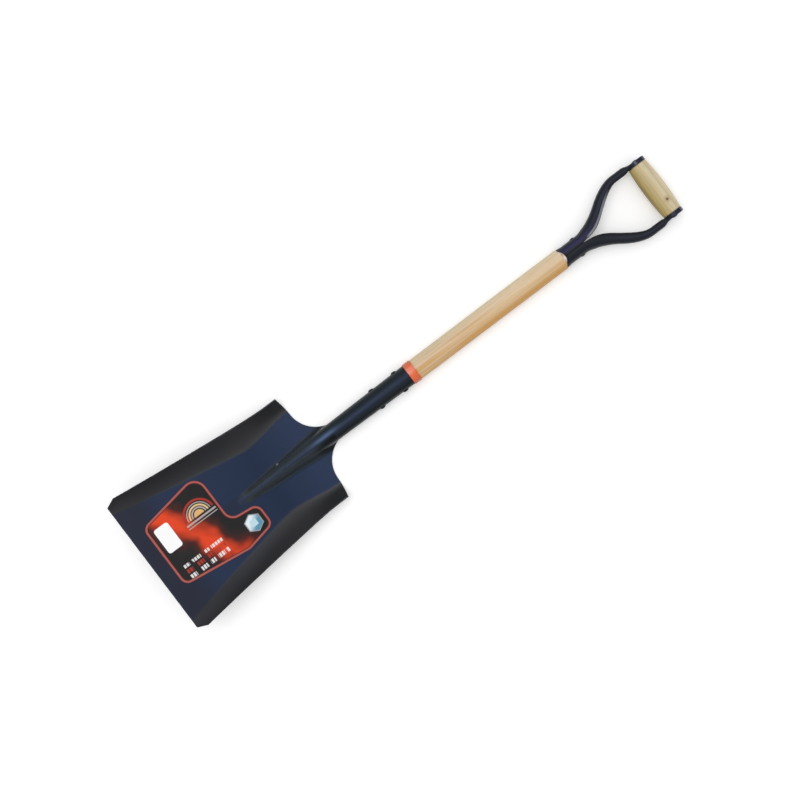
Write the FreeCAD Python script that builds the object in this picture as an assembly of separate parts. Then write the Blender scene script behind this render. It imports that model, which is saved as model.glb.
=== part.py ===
"""Square mouth shovel with a stamped steel blade, a wooden shaft and a steel yoke with a wooden grip.

The shovel lies on its back, as it does when it is put down: the heel of the blade touches the ground, and the grip
and the ring come within a millimetre of it.
X runs along the shovel from the mouth of the blade to the grip, Y across it and Z up.
Everything is built with X measured from the blade's shoulder line, and moved at the end so that the origin is
on the ground at the middle of the whole shovel. Lengths are in millimetres, angles in degrees.
"""
import FreeCAD, Part
import math
import os
from FreeCAD import Vector

# Blade: one sheet of steel, pressed to a tray with a ridge, and rolled to a socket behind it
sheet = 2.0                      # thickness of the steel
blade_length = 309.0             # mouth edge to shoulder line, along the sheet
mouth_width = 242.0
shoulder_width = 187.0
parallel_length = 40.0           # stretch ahead of the shoulders where the sides hardly taper
blade_lift = 16.0                # angle of the blade's floor to the shaft
widening_power = 1.12            # above 1 the sides flare a little more towards the mouth
straight_length = 219.0          # straight stretch of the floor, from the mouth to where it starts to turn
floor_width = 136.0              # flat floor between the side walls, at the shoulders
floor_waist_width = 112.0        # the same at the end of the heel
mouth_floor_width = 196.0        # and at the mouth
floor_widening_power = 1.15
wall_height = 27.0               # side walls at the shoulders
mouth_wall_height = 5.0          # side walls at the mouth
corner_along = 15.0              # cut corners of the mouth, along the sides
corner_across = 8.5              # and across the mouth
shoulder_rake = 2.0              # how far the outer ends of the shoulders lie ahead of the notches
notch_radius = 50.0              # round notch between shoulder and socket
notch_spacing = 27.6             # between the two notches where they come closest, under the neck

# Shaft's axis above the ground under the heel
axis_height = 18.6

# Ridge that stiffens the blade's floor and runs up into the socket
ridge_label_gap = 24.25          # between its tip and the end of the label's body
ridge_width = 50.0               # at its foot, at the neck
ridge_tip_width = 19.0
ridge_ease_share = 0.15          # how softly its foot starts to narrow
run_out_power = 1.3              # how fast the crest sinks into the floor

# Socket
neck_diameter = 30.4
socket_diameter = 34.0           # at the socket's mouth
socket_length = 186.5            # shoulder line to the socket's mouth
seam_gap = 3.0                   # open seam underneath
seam_close_length = 62.0         # stretch behind the neck over which the open back closes to the seam

# Shaft and the ring at its step
shaft_diameter = 35.0
bare_length = 287.2              # bare wood between the ring and the yoke
nose_length = 30.0               # wood ahead of the neck, inside the ridge
nose_diameter = 15.0
nose_round = 2.0
step_chamfer = 1.6               # on the wood where it steps down into the yoke
fit_gap = 0.2                    # between wood and the steel round it
ring_length = 13.5
ring_diameter = 37.0
ring_wall = 2.0
ring_round = 0.6
seat_gap = 0.05                  # between faces that butt together

# Rivets: two through the socket, one through the yoke
rivet_diameter = 6.0
rivet_head_diameter = 9.6
rivet_head_height = 2.1
hole_gap = 0.1                   # round each shank
socket_rivet_setback = 17.4      # upper socket rivet, from the socket's mouth
socket_rivet_spacing = 44.5
ferrule_rivet_setback = 30.1     # the yoke's rivet, from the ferrule's mouth
yoke_rivet_head_diameter = 8.0
yoke_rivet_head_height = 1.3

# Yoke: ferrule, two arms of channel section and two cups that hold the grip
yoke_sheet = 1.5
ferrule_diameter = 31.4
ferrule_wall = 1.9
ferrule_length = 39.1
ferrule_grip_length = 35.1       # how far the wood goes into it
ferrule_mouth_diameter = 33.2    # its mouth is flared
ferrule_lip_length = 1.5
ferrule_flare_length = 8.0
scallop_radius = 23.0            # shallow scallops in the ferrule's mouth, above and below
scallop_depth = 4.0
arm_root_length = 4.0            # the arms' roots lie inside the ferrule's wall
arm_root_angle = 88.0            # half of what each root covers of the ferrule's round
arm_swing_length = 100.0         # stretch over which the arms spread
arm_start_slope = 0.3            # how fast they spread at the crotch, 1 being the average
arm_turn_in_share = 0.25         # of that stretch, over which the channel turns to follow the slope
arm_width = 18.0                 # across the channel where it is fullest
arm_slim_width = 13.4            # beside the grip
arm_depth = 22.0                 # front to back
arm_tip_depth = 16.0
arm_channel_angle = 150.0        # half of what the channel covers, seen from its middle
arm_full_share = 0.42            # where the channel is fullest, along the arm
arm_slim_share = 0.84            # from here it is slim
arm_tip_share = 0.93             # from here it narrows to its tip, inside the cup
arm_tip_width = 6.8
arm_spread = 101.2               # between the middles of the two channels, beside the grip
cup_diameter = 31.2
cup_height = 7.4
cup_overlap = 4.5                # the arm's tip reaches this far into the cup's round
cup_edge_round = 0.5

# Grip: turned wood on a long pin
grip_reach = 142.2               # crotch of the yoke to the grip's middle
grip_length = 91.6               # bare wood between the cups
grip_diameter = 35.6             # at its crown
grip_end_diameter = 31.0
grip_end_round = 1.4
pin_diameter = 6.0
pin_head_diameter = 10.0
pin_head_height = 1.6

# Label: thin die-cut film on the blade's floor, measured from the mouth edge
label_film = 0.25
label_lift = 0.1                 # adhesive under the film
label_front = 22.7               # its edge towards the mouth
label_middle = 137.0             # end of its body
label_bend = 134.5               # where its right side turns in
label_back = 185.7               # end of its tongue
label_left_front = 56.4          # left is on the +Y side
label_left_back = 77.0
label_right_front = 51.8
label_right_bend = 68.1
label_tongue_root = 11.7
label_tongue_inner = 17.3
label_tongue_outer = 58.1
label_corner = 14.0
label_left_corner = 21.0
label_root_corner = 15.0
label_tongue_corner = 13.0

# Fineness of the curved sheets, and how far cutting bodies reach past what they cut
overrun = 5.0
sew_tolerance = 0.01
blade_row_count = 34
socket_row_count = 16
arm_row_count = 30
ridge_column_count = 16          # crest to foot, one side
floor_column_count = 12          # from the ridge's foot to the side wall
wall_column_count = 9
arm_column_count = 15            # middle of its back to one lip
belly_row_count = 12
head_row_count = 6
settling_count = 16              # rounds in which a column's end settles on the outline
row_crowding = 1.35              # rows lie closer towards the neck
column_crowding = 1.5            # columns lie closer towards the ridge

# Places and sizes that follow from those above
lift = math.radians(blade_lift)
heel_length = blade_length - straight_length
heel_radius = heel_length / lift
neck_radius = neck_diameter / 2
crest_share = neck_diameter / ridge_width
neck_height = axis_height + neck_radius - sheet
notch_middle_y = notch_radius + notch_spacing / 2
neck_x = notch_radius - math.sqrt(notch_radius ** 2 - (notch_middle_y - neck_radius) ** 2)
ridge_length = neck_x + blade_length - label_middle - ridge_label_gap
ring_end_x = socket_length + ring_length
ferrule_x = ring_end_x + bare_length
crotch_x = ferrule_x + ferrule_length
grip_x = crotch_x + grip_reach
cup_middle_y = (grip_length + cup_height) / 2
cup_cavity_diameter = cup_diameter - 2 * yoke_sheet
upper_rivet_x = socket_length - socket_rivet_setback
lower_rivet_x = upper_rivet_x - socket_rivet_spacing
ferrule_rivet_x = ferrule_x + ferrule_rivet_setback
along = Vector(1, 0, 0)
across = Vector(0, 1, 0)
upward = Vector(0, 0, 1)


def smooth(t):
    """0 to 1 with level ends, and held beyond them."""
    t = min(1.0, max(0.0, t))
    return t * t * (3 - 2 * t)


def between(a, b, t):
    return a + (b - a) * t


def floor_path(s):
    """Upper face of the blade's floor at length s from the shoulder line: x, z and its slope angle."""
    turned = min(max(0.0, -s), heel_length) / heel_radius
    ahead = max(0.0, s)
    straight = max(0.0, -s - heel_length)
    x = ahead - heel_radius * math.sin(turned) - straight * math.cos(lift)
    z = sheet + heel_radius * (1 - math.cos(turned)) + straight * math.sin(lift)
    return x, z, turned


def on_sheet(s, y, n, tilt, depth):
    """The point y across and n above the floor at length s, taken depth into the steel.

    tilt is the angle by which the sheet falls away from the middle, in the section across the blade."""
    x, z, slope = floor_path(s)
    side = math.copysign(1, y)
    y -= side * depth * math.sin(tilt)
    n -= depth * math.cos(tilt)
    return Vector(x + n * math.sin(slope), y, z + n * math.cos(slope))


def socket_radius(s):
    return between(neck_radius, socket_diameter / 2, (s - neck_x) / (socket_length - neck_x))


def ridge_form(s):
    """Section of the ridge at length s: height, radius and turn of the crest, length of the leg, half width."""
    t = min(1.0, max(0.0, (neck_x - s) / ridge_length))
    height = neck_height * (1 - t * t) ** run_out_power
    foot = between(ridge_width / 2, ridge_tip_width / 2, t * t * (1 + ridge_ease_share) / (t + ridge_ease_share))
    turn = math.pi / 2 - 2 * math.atan2(max(0.0, foot - height), foot)
    return height, foot * crest_share, turn, abs(height - foot), foot


def socket_form(s):
    """The same for the socket: its sides curl under it until only the seam is left."""
    radius = socket_radius(s)
    t = min(1.0, (s - neck_x) / seam_close_length)
    curl = t * (2 - t)
    closed = math.pi - math.asin(seam_gap / 2 / radius)
    leg = (neck_height - ridge_width / 2) * (1 - curl)
    return axis_height + radius - sheet, radius, between(math.pi / 2, closed, curl), leg, radius


def crest_point(form, s, share, depth):
    """A point of that section from the crest (0) to the end of the leg (1, or -1 on the other side)."""
    height, radius, turn, leg, foot = form(s)
    run = abs(share) * (radius * turn + leg)
    angle = min(turn, run / radius)
    past = max(0.0, run - radius * turn)
    y = radius * math.sin(angle) + past * math.cos(turn)
    n = height - radius * (1 - math.cos(angle)) - past * math.sin(turn)
    return on_sheet(s, math.copysign(y, share), n, angle, depth)


def edge_y(s):
    """Half width of the blade at length s: nearly parallel by the shoulders, then widening to the mouth."""
    start = parallel_length / 2
    ahead = max(0.0, -s - start)
    bend = start * (1 - math.exp(-ahead / start))
    share = (ahead - bend) / (blade_length - 2 * start)
    return between(shoulder_width / 2, mouth_width / 2, share ** widening_power)


def wall_start_y(s):
    """Half width of the flat floor at length s: waisted at the end of the heel, then widening to the mouth."""
    ahead = max(0.0, (-s - heel_length) / (blade_length - heel_length))
    behind = between(floor_width, floor_waist_width, smooth(-s / heel_length))
    return behind / 2 + (mouth_floor_width - floor_waist_width) / 2 * ahead ** floor_widening_power


def wing_section(s, column):
    """y, n and tilt at one column of the wing: fillet at the ridge's foot, flat floor, then curved side wall."""
    height, radius, turn, leg, foot = ridge_form(s)
    start = wall_start_y(s)
    if column <= floor_column_count:
        bend = foot - radius
        arc = bend * turn
        run = (arc + start - foot) * (column / floor_column_count) ** column_crowding
        if run < arc:
            tilt = turn - run / bend
            return foot - bend * math.sin(tilt), bend * (1 - math.cos(tilt)), tilt
        return foot + run - arc, 0.0, 0.0
    share = (column - floor_column_count) / wall_column_count
    width = edge_y(s) - start
    rise = between(wall_height, mouth_wall_height, smooth(-s / blade_length))
    return start + width * share, rise * share ** 2, -math.atan2(2 * rise * share, width)


def wing_end(column):
    """Length s at which a column of the wing meets the rear outline: the round notch, then the raked shoulder."""
    s = neck_x
    for _ in range(settling_count):
        y = min(max(wing_section(s, column)[0], neck_radius), shoulder_width / 2)
        if y < notch_middle_y:
            s = notch_radius - math.sqrt(notch_radius ** 2 - (notch_middle_y - y) ** 2)
        else:
            s = -shoulder_rake * (y - notch_middle_y) / (shoulder_width / 2 - notch_middle_y)
    return s


def wing_start(column):
    """Length s at which a column of the wing starts: the mouth edge, or the slanting line of its cut corner."""
    y = wing_section(-blade_length, column)[0]
    cut = max(0.0, y - mouth_width / 2 + corner_across)
    return -blade_length + cut * corner_along / corner_across


def pole_surface(rows):
    """Smooth surface steered by a grid of points. Sheets that share a border's points share that border exactly."""
    spans = (len(rows) - 3, len(rows[0]) - 3)
    mults = [[4] + [1] * (n - 1) + [4] for n in spans]
    knots = [[i / n for i in range(n + 1)] for n in spans]
    surface = Part.BSplineSurface()
    surface.buildFromPolesMultsKnots(rows, mults[0], mults[1], knots[0], knots[1], False, False, 3, 3)
    return surface


def border(surface, side):
    """One of a surface's four borders, by its name."""
    if side.endswith("row"):
        return surface.uIso(float(side == "last_row")).toShape()
    return surface.vIso(float(side == "last_column")).toShape()


def sheet_faces(upper, lower, free_sides):
    """Upper and lower face of a sheet, and the rims on its free sides."""
    rims = [Part.makeRuledSurface(border(upper, side), border(lower, side)) for side in free_sides]
    return [upper.toShape(), lower.toShape()] + rims


def sewn_solid(faces):
    body = Part.Compound(faces)
    body.sewShape(sew_tolerance)
    solid = Part.Solid(body.Shells[0])
    if solid.Volume < 0:
        solid.reverse()
    return solid


def turned(profile, origin, axis, outward):
    """A solid turned from pairs of distance along the axis and radius."""
    outline = [origin + axis * distance + outward * radius for distance, radius in profile]
    return Part.Face(Part.makePolygon(outline + outline[:1])).revolve(origin, axis, 360)


def cross_bar(x, diameter, reach):
    """A round bar across the shovel through the shaft's axis, reaching as far on either side."""
    return Part.makeCylinder(diameter / 2, 2 * reach, Vector(x, -reach, axis_height), across)


def headed_bar(x, diameter, seat, head_diameter, head_height):
    """A rivet across the shovel: a shank and two domed heads that seat at that distance from the middle."""
    head = [(seat, 0.0), (seat, head_diameter / 2)]
    for i in range(1, head_row_count + 1):
        angle = math.pi / 2 * i / head_row_count
        head.append((seat + head_height * math.sin(angle), head_diameter / 2 * math.cos(angle)))
    middle = Vector(x, 0, axis_height)
    bar = cross_bar(x, diameter, seat + head_height / 2)
    for side in (across, -across):
        bar = bar.fuse(turned(head, middle, side, along))
    return bar


def blade_surfaces(depth):
    """The sheet at that depth: ridge, socket and the two wings."""
    spread = [1 - (1 - i / blade_row_count) ** row_crowding for i in range(blade_row_count + 1)]
    shares = [i / ridge_column_count for i in range(-ridge_column_count, ridge_column_count + 1)]
    columns = range(floor_column_count + wall_column_count + 1)
    starts = [wing_start(column) for column in columns]
    ends = [wing_end(column) for column in columns]
    ridge = [[crest_point(ridge_form, between(-blade_length, neck_x, f), share, depth) for share in shares]
             for f in spread]
    socket = [[crest_point(socket_form, between(neck_x, socket_length, i / socket_row_count), share, depth)
               for share in shares] for i in range(socket_row_count + 1)]
    wings = []
    for side in (1, -1):
        rows = []
        for f in spread:
            places = [between(start, end, f) for start, end in zip(starts, ends)]
            points = [on_sheet(s, *wing_section(s, column), depth) for column, s in enumerate(places)]
            rows.append([Vector(p.x, side * p.y, p.z) for p in points])
        wings.append(pole_surface(rows))
    return [pole_surface(ridge), pole_surface(socket)] + wings


def flat_rim(upper, lower):
    """The rim at a sheet's first row as a flat face."""
    edges = [border(upper, "first_row"), border(lower, "first_row")]
    edges += [Part.makeLine(upper.value(0, end), lower.value(0, end)) for end in (0, 1)]
    return Part.Face(Part.Wire(Part.__sortEdges__(edges)))


def make_blade():
    uppers = blade_surfaces(0.0)
    lowers = blade_surfaces(sheet)
    wing_sides = ["first_row", "last_row", "last_column"]
    free_sides = [[], ["last_row", "first_column", "last_column"], wing_sides, wing_sides]
    faces = [flat_rim(uppers[0], lowers[0])]
    for upper, lower, sides in zip(uppers, lowers, free_sides):
        faces += sheet_faces(upper, lower, sides)
    holes = [cross_bar(x, rivet_diameter + 2 * hole_gap, socket_diameter) for x in (lower_rivet_x, upper_rivet_x)]
    return sewn_solid(faces).cut(Part.Compound(holes))


def make_shaft():
    start = neck_x - nose_length
    inner = neck_radius - sheet - fit_gap
    mouth = socket_diameter / 2 - sheet - fit_gap
    profile = [(start, 0.0), (start, nose_diameter / 2 - nose_round), (start + nose_round, nose_diameter / 2),
               (neck_x, inner), (socket_length + seat_gap, mouth),
               (socket_length + seat_gap, ring_diameter / 2 - ring_wall - fit_gap),
               (ring_end_x + seat_gap, ring_diameter / 2 - ring_wall - fit_gap),
               (ring_end_x + seat_gap, shaft_diameter / 2),
               (ferrule_x - seat_gap, shaft_diameter / 2)]
    tenon = ferrule_diameter / 2 - ferrule_wall - fit_gap
    profile[-1:] = [(ferrule_x - seat_gap - step_chamfer, shaft_diameter / 2),
                    (ferrule_x - seat_gap, shaft_diameter / 2 - step_chamfer),
                    (ferrule_x - seat_gap, tenon),
                    (ferrule_x + ferrule_grip_length - nose_round, tenon),
                    (ferrule_x + ferrule_grip_length, tenon - nose_round),
                    (ferrule_x + ferrule_grip_length, 0.0)]
    shaft = turned(profile, Vector(0, 0, axis_height), along, across)
    holes = [cross_bar(x, rivet_diameter + 2 * hole_gap, socket_diameter)
             for x in (lower_rivet_x, upper_rivet_x, ferrule_rivet_x)]
    return shaft.cut(Part.Compound(holes))


def make_ring():
    outer = ring_diameter / 2
    inner = outer - ring_wall
    start = socket_length + 2 * seat_gap
    profile = [(start, inner), (start, outer - ring_round), (start + ring_round, outer),
               (ring_end_x - ring_round, outer), (ring_end_x, outer - ring_round), (ring_end_x, inner)]
    return turned(profile, Vector(0, 0, axis_height), along, across)


def arm_place(x):
    """Middle of the arm's channel across the shovel, x ahead of the crotch, and its slope angle."""
    t = min(1.0, max(0.0, x / arm_swing_length))
    share = arm_start_slope * t * (1 - t) ** 2 + smooth(t)
    slope = arm_start_slope * (1 - t) * (1 - 3 * t) + 6 * t * (1 - t) if x > 0 else 0.0
    reach = arm_spread / 2
    return reach * share, math.atan(slope * reach / arm_swing_length) * smooth(t / arm_turn_in_share)


def arm_section(x):
    """Half width, half depth and covered angle of the channel, x ahead of the crotch."""
    root = ferrule_diameter / 2 - (ferrule_wall - yoke_sheet) / 2
    tip = grip_reach - cup_diameter / 2
    t = min(1.0, max(0.0, x / tip))
    opened = smooth(t / arm_full_share)
    slimmed = smooth((t - arm_full_share) / (arm_slim_share - arm_full_share))
    tipped = smooth((x / tip - arm_tip_share) / (1 + cup_overlap / tip - arm_tip_share))
    width = between(between(root, arm_width / 2, opened), arm_slim_width / 2, slimmed)
    width = between(width, arm_tip_width / 2, tipped)
    depth = between(between(root, arm_depth / 2, opened), arm_tip_depth / 2, smooth(t))
    return width, depth, math.radians(between(arm_root_angle, arm_channel_angle, opened))


def arm_rows(side, inset):
    rows = []
    last = grip_reach - cup_diameter / 2 + cup_overlap
    for i in range(arm_row_count + 1):
        x = between(-arm_root_length, last, i / arm_row_count)
        y, slope = arm_place(x)
        width, depth, angle = arm_section(x)
        row = []
        for column in range(-arm_column_count, arm_column_count + 1):
            turn = angle * column / arm_column_count
            out = (width - inset) * math.cos(turn)
            high = (depth - inset) * math.sin(turn)
            row.append(Vector(crotch_x + x - out * math.sin(slope), side * (y + out * math.cos(slope)),
                              axis_height + high))
        rows.append(row)
    return rows


def make_yoke():
    outer = ferrule_diameter / 2
    base = Vector(ferrule_x, 0, axis_height)
    profile = [(0.0, 0.0), (0.0, ferrule_mouth_diameter / 2), (ferrule_lip_length, ferrule_mouth_diameter / 2),
               (ferrule_flare_length, outer), (ferrule_length, outer), (ferrule_length, 0.0)]
    yoke = turned(profile, base, along, across)
    inner = Part.makeCylinder(outer - ferrule_wall, ferrule_length + 2 * overrun, base - along * overrun, along)
    scallop = Part.makeCylinder(scallop_radius, 2 * axis_height + 2 * overrun,
                                Vector(ferrule_x - scallop_radius + scallop_depth, 0, -overrun), upward)
    yoke = yoke.cut(inner).cut(scallop)
    rims = ["first_row", "last_row", "first_column", "last_column"]
    hollows = []
    for side in (1, -1):
        arm = sewn_solid(sheet_faces(pole_surface(arm_rows(side, 0.0)), pole_surface(arm_rows(side, yoke_sheet)), rims))
        face = Vector(grip_x, side * grip_length / 2, axis_height)
        cup = Part.makeCylinder(cup_diameter / 2, cup_height, face, across * side)
        cup = cup.makeFillet(cup_edge_round, [edge for edge in cup.Edges if edge.Closed])
        hollows.append(Part.makeCylinder(cup_cavity_diameter / 2, cup_height - yoke_sheet + overrun,
                                         face - across * side * overrun, across * side))
        yoke = yoke.fuse(arm).fuse(cup)
    hollows.append(cross_bar(grip_x, pin_diameter + 2 * hole_gap, cup_middle_y + cup_height))
    hollows.append(cross_bar(ferrule_rivet_x, rivet_diameter + 2 * hole_gap, ferrule_diameter))
    return yoke.cut(Part.Compound(hollows))


def make_grip():
    half = grip_length / 2
    tenon = half + cup_height - yoke_sheet - seat_gap
    crown = (grip_diameter - grip_end_diameter) / 2
    belly = []
    for i in range(belly_row_count + 1):
        t = between(-1, 1, i / belly_row_count)
        belly.append(Vector(grip_x, t * (half - seat_gap - grip_end_round), grip_end_diameter / 2 + crown * (1 - t * t)))
    outline = Part.BSplineCurve()
    outline.interpolate(belly)
    corners = [(half - seat_gap, grip_end_diameter / 2 - grip_end_round),
               (half - seat_gap, cup_cavity_diameter / 2 - fit_gap), (tenon, cup_cavity_diameter / 2 - fit_gap),
               (tenon, 0.0)]
    right = [belly[-1]] + [Vector(grip_x, y, z) for y, z in corners]
    left = [Vector(grip_x, -p.y, p.z) for p in right]
    face = Part.Face(Part.Wire([outline.toShape()] + Part.makePolygon(right + left[::-1]).Edges))
    grip = face.revolve(Vector(grip_x, 0, 0), across, 360)
    grip.translate(upward * axis_height)
    return grip.cut(cross_bar(grip_x, pin_diameter + 2 * hole_gap, cup_middle_y + cup_height))


def make_label():
    """Outline in lengths from the mouth edge and distances across, with rounded corners."""
    outline = [(label_front, label_left_front, label_corner), (label_middle, label_left_back, label_left_corner),
               (label_middle, -label_tongue_root, label_root_corner),
               (label_back, -label_tongue_inner, label_root_corner),
               (label_back, -label_tongue_outer, label_tongue_corner),
               (label_bend, -label_right_bend, label_corner), (label_front, -label_right_front, label_corner)]
    edge_x, edge_z, slope = floor_path(-blade_length)
    inward = Vector(math.cos(lift), 0, -math.sin(lift))
    normal = Vector(math.sin(lift), 0, math.cos(lift))
    corners = [(Vector(edge_x, 0, edge_z) + inward * a + across * b + normal * label_lift, r) for a, b, r in outline]
    edges = []
    starts = []
    ends = []
    for i, (corner, radius) in enumerate(corners):
        before = (corners[i - 1][0] - corner).normalize()
        after = (corners[(i + 1) % len(corners)][0] - corner).normalize()
        reach = radius / math.tan(before.getAngle(after) / 2)
        middle = (before + after).normalize() * (radius / math.sin(before.getAngle(after) / 2) - radius)
        starts.append(corner + before * reach)
        ends.append(corner + after * reach)
        edges.append(Part.Arc(starts[-1], corner + middle, ends[-1]).toShape())
    for i in range(len(corners)):
        edges.append(Part.makeLine(ends[i - 1], starts[i]))
    return Part.Face(Part.Wire(Part.__sortEdges__(edges))).extrude(normal * label_film)


def make_socket_rivet(x):
    return headed_bar(x, rivet_diameter, socket_radius(x), rivet_head_diameter, rivet_head_height)


def make_parts():
    return {
        "blade": make_blade(),
        "shaft": make_shaft(),
        "socket_ring": make_ring(),
        "socket_rivet_lower": make_socket_rivet(lower_rivet_x),
        "socket_rivet_upper": make_socket_rivet(upper_rivet_x),
        "yoke": make_yoke(),
        "yoke_rivet": headed_bar(ferrule_rivet_x, rivet_diameter, ferrule_diameter / 2, yoke_rivet_head_diameter,
                                 yoke_rivet_head_height),
        "grip": make_grip(),
        "grip_pin": headed_bar(grip_x, pin_diameter, cup_middle_y + cup_height / 2, pin_head_diameter,
                               pin_head_height),
        "label": make_label(),
    }


def main():
    os.makedirs("parts", exist_ok=True)
    parts = make_parts()
    box = Part.Compound(list(parts.values())).optimalBoundingBox()
    for name, shape in parts.items():
        shape.translate(Vector(-box.Center.x, -box.Center.y, -box.ZMin))
        shape.exportStep("parts/" + name + ".step")
        print(name, shape.isValid(), len(shape.Solids), round(shape.Volume), shape.BoundBox)
    print(box)


if __name__ == "__main__":
    main()
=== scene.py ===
"""Looks of a square mouth shovel: painted steel blade and yoke, wooden shaft and grip, plastic ring, printed label.

Lengths in the shape functions are millimetres, measured along the shovel from the blade's shoulder line (s),
across it (y) and up (z). They become metres of the frame when a piece is made.
"""
import math

import bmesh
import bpy
import numpy as np
from bpy.props import FloatProperty, FloatVectorProperty, PointerProperty
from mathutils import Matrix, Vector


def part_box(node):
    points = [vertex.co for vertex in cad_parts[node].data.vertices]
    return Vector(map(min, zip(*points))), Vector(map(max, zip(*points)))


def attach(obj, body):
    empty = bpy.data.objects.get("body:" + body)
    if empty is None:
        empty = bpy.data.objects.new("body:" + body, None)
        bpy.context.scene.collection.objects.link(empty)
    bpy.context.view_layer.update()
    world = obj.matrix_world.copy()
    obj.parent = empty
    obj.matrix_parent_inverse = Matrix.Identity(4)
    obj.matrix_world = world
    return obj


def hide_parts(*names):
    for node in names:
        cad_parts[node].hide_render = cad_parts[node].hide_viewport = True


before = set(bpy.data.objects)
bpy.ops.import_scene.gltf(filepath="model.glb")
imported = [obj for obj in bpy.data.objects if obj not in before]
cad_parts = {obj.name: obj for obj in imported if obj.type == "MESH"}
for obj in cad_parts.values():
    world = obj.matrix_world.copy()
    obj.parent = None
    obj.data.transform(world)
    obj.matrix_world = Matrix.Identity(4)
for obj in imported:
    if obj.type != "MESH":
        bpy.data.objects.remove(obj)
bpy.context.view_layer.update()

bl_info = {
    "name": "Square mouth shovel looks",
    "version": (1, 0, 0),
    "blender": (4, 5, 0),
    "location": "3D View > Sidebar > Shovel",
    "description": "Builds the visible pieces, finishes and studio of a square mouth shovel around its frame",
    "category": "Object",
}

MM = 0.001

# Blade
SHEET = 2.0
BLADE_LENGTH = 309.0
MOUTH_WIDTH = 242.0
SHOULDER_WIDTH = 187.0
PARALLEL_LENGTH = 40.0
WIDENING_POWER = 1.12
LIFT = math.radians(16.0)
HEEL_LENGTH = 90.0
HEEL_RADIUS = HEEL_LENGTH / LIFT
FLOOR_WIDTH = 136.0
FLOOR_WAIST_WIDTH = 112.0
MOUTH_FLOOR_WIDTH = 196.0
FLOOR_WIDENING_POWER = 1.15
WALL_HEIGHT = 27.0
MOUTH_WALL_HEIGHT = 4.55
CORNER_ALONG = 15.0
CORNER_ACROSS = 8.5
SHOULDER_RAKE = 2.0
NOTCH_RADIUS = 50.0
NOTCH_MIDDLE_Y = 63.8
RIDGE_LENGTH = 186.0
RIDGE_WIDTH = 50.0
RIDGE_TIP_WIDTH = 19.0
RIDGE_EASE_SHARE = 0.15
RUN_OUT_POWER = 1.3
NECK_RADIUS = 15.2
SOCKET_RADIUS = 17.0
SOCKET_LENGTH = 186.5
SEAM_GAP = 3.0
SEAM_CLOSE_LENGTH = 62.0
BLADE_EDGE_ROUND = 0.35

# Shaft
SHAFT_RADIUS = 17.5
SHAFT_WOBBLE_SHARE = 0.002
TENON_PLAY = 0.2
TENON_REACH = 30.0
TENON_TIP_RADIUS = 7.5
YOKE_TENON_RADIUS = 13.6
TENON_CHAMFER = 2.0
STEP_GAP = 0.1
STEP_ROUND = 0.6
STEP_ROUND_LENGTH = 1.5
SHOULDER_ROUND_LENGTH = 2.6
# Rounded end of the bare wood: distance past the ferrule's mouth and change of radius
SHOULDER_ROUND = ((-1.7, -0.1), (-0.8, -0.7), (-0.1, -1.6))

# Ring and rivets
RING_LENGTH = 13.5
RING_RADIUS = 18.5
RING_WALL = 2.0
RING_GAP = 0.1
# Rounded end of the ring: distance in from its end and change of radius
RING_ROUND = ((0.0, -0.6), (0.2, -0.18), (0.7, 0.0))
RIVET_RADIUS = 3.0
SOCKET_HEAD = (4.8, 2.1)
YOKE_HEAD = (4.0, 1.3)
# A head's underside, from its rim to its shank: height over the seat, change of radius from the rim, and how far it
# follows the round steel
HEAD_SKIRT = ((0.1, 0.0, 1.0), (-0.4, -0.15, 1.0))
HEAD_SINK = 0.4
SHANK_STUB = 3.0
UPPER_RIVET_S = 169.1
LOWER_RIVET_S = 124.6
RING_END_S = SOCKET_LENGTH + RING_LENGTH
FERRULE_S = 487.2
YOKE_RIVET_S = 517.3
CROTCH_S = 526.3

# Yoke and grip
YOKE_SHEET = 1.5
YOKE_EDGE_ROUND = 0.3
FERRULE_RADIUS = 15.7
FERRULE_MOUTH_RADIUS = 16.6
FERRULE_LENGTH = 39.1
FERRULE_GRIP_LENGTH = 35.1
FERRULE_LIP_LENGTH = 1.5
FERRULE_FLARE_LENGTH = 8.0
SCALLOP_RADIUS = 23.0
SCALLOP_DEPTH = 4.0
SEAM_SINK = 1.0
SEAM_SINK_START_SHARE = 0.66
ARM_SWING_LENGTH = 100.0
ARM_START_SLOPE = 0.3
ARM_TURN_IN_SHARE = 0.25
ARM_HALF_WIDTH = 9.0
ARM_SLIM_HALF_WIDTH = 6.7
ARM_HALF_DEPTH = 11.0
ARM_TIP_HALF_DEPTH = 8.0
ARM_CHANNEL_ANGLE = math.radians(150.0)
ARM_FULL_SHARE = 0.42
ARM_SLIM_SHARE = 0.84
ARM_TIP_SHARE = 0.93
ARM_TIP_HALF_WIDTH = 3.4
ARM_HALF_SPREAD = 50.6
CUP_RADIUS = 15.6
CUP_HEIGHT = 7.4
CUP_OVERLAP = 4.5
CUP_GAP = 0.05
CUP_ROUND = 1.2
# Dished end of a cup: height over its end and radius. Its rim: height over its base and change of radius
CUP_DISH = ((-0.5, 0.0), (-0.5, 6.2), (-0.35, 7.2), (0.0, 8.6))
CUP_RIM = ((0.5, 0.0), (0.15, -0.15), (0.0, -0.5), (0.0, -1.1), (0.2, -1.4))
CUP_INSIDE_DISH = 0.3
GRIP_REACH = 142.2
GRIP_S = CROTCH_S + GRIP_REACH
GRIP_HALF_LENGTH = 45.8
GRIP_RADIUS = 17.78
GRIP_END_RADIUS = 15.5
GRIP_END_LENGTH = 1.5
GRIP_END_ROUND = ((-0.7, -0.35), (-0.1, -1.2))
GRIP_TENON_RADIUS = 13.9
GRIP_TENON_LENGTH = 5.3
PIN_HEAD_RADIUS = 5.0
PIN_HEAD_HEIGHT = 1.6
PIN_SEAT_SINK = 0.5

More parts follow.
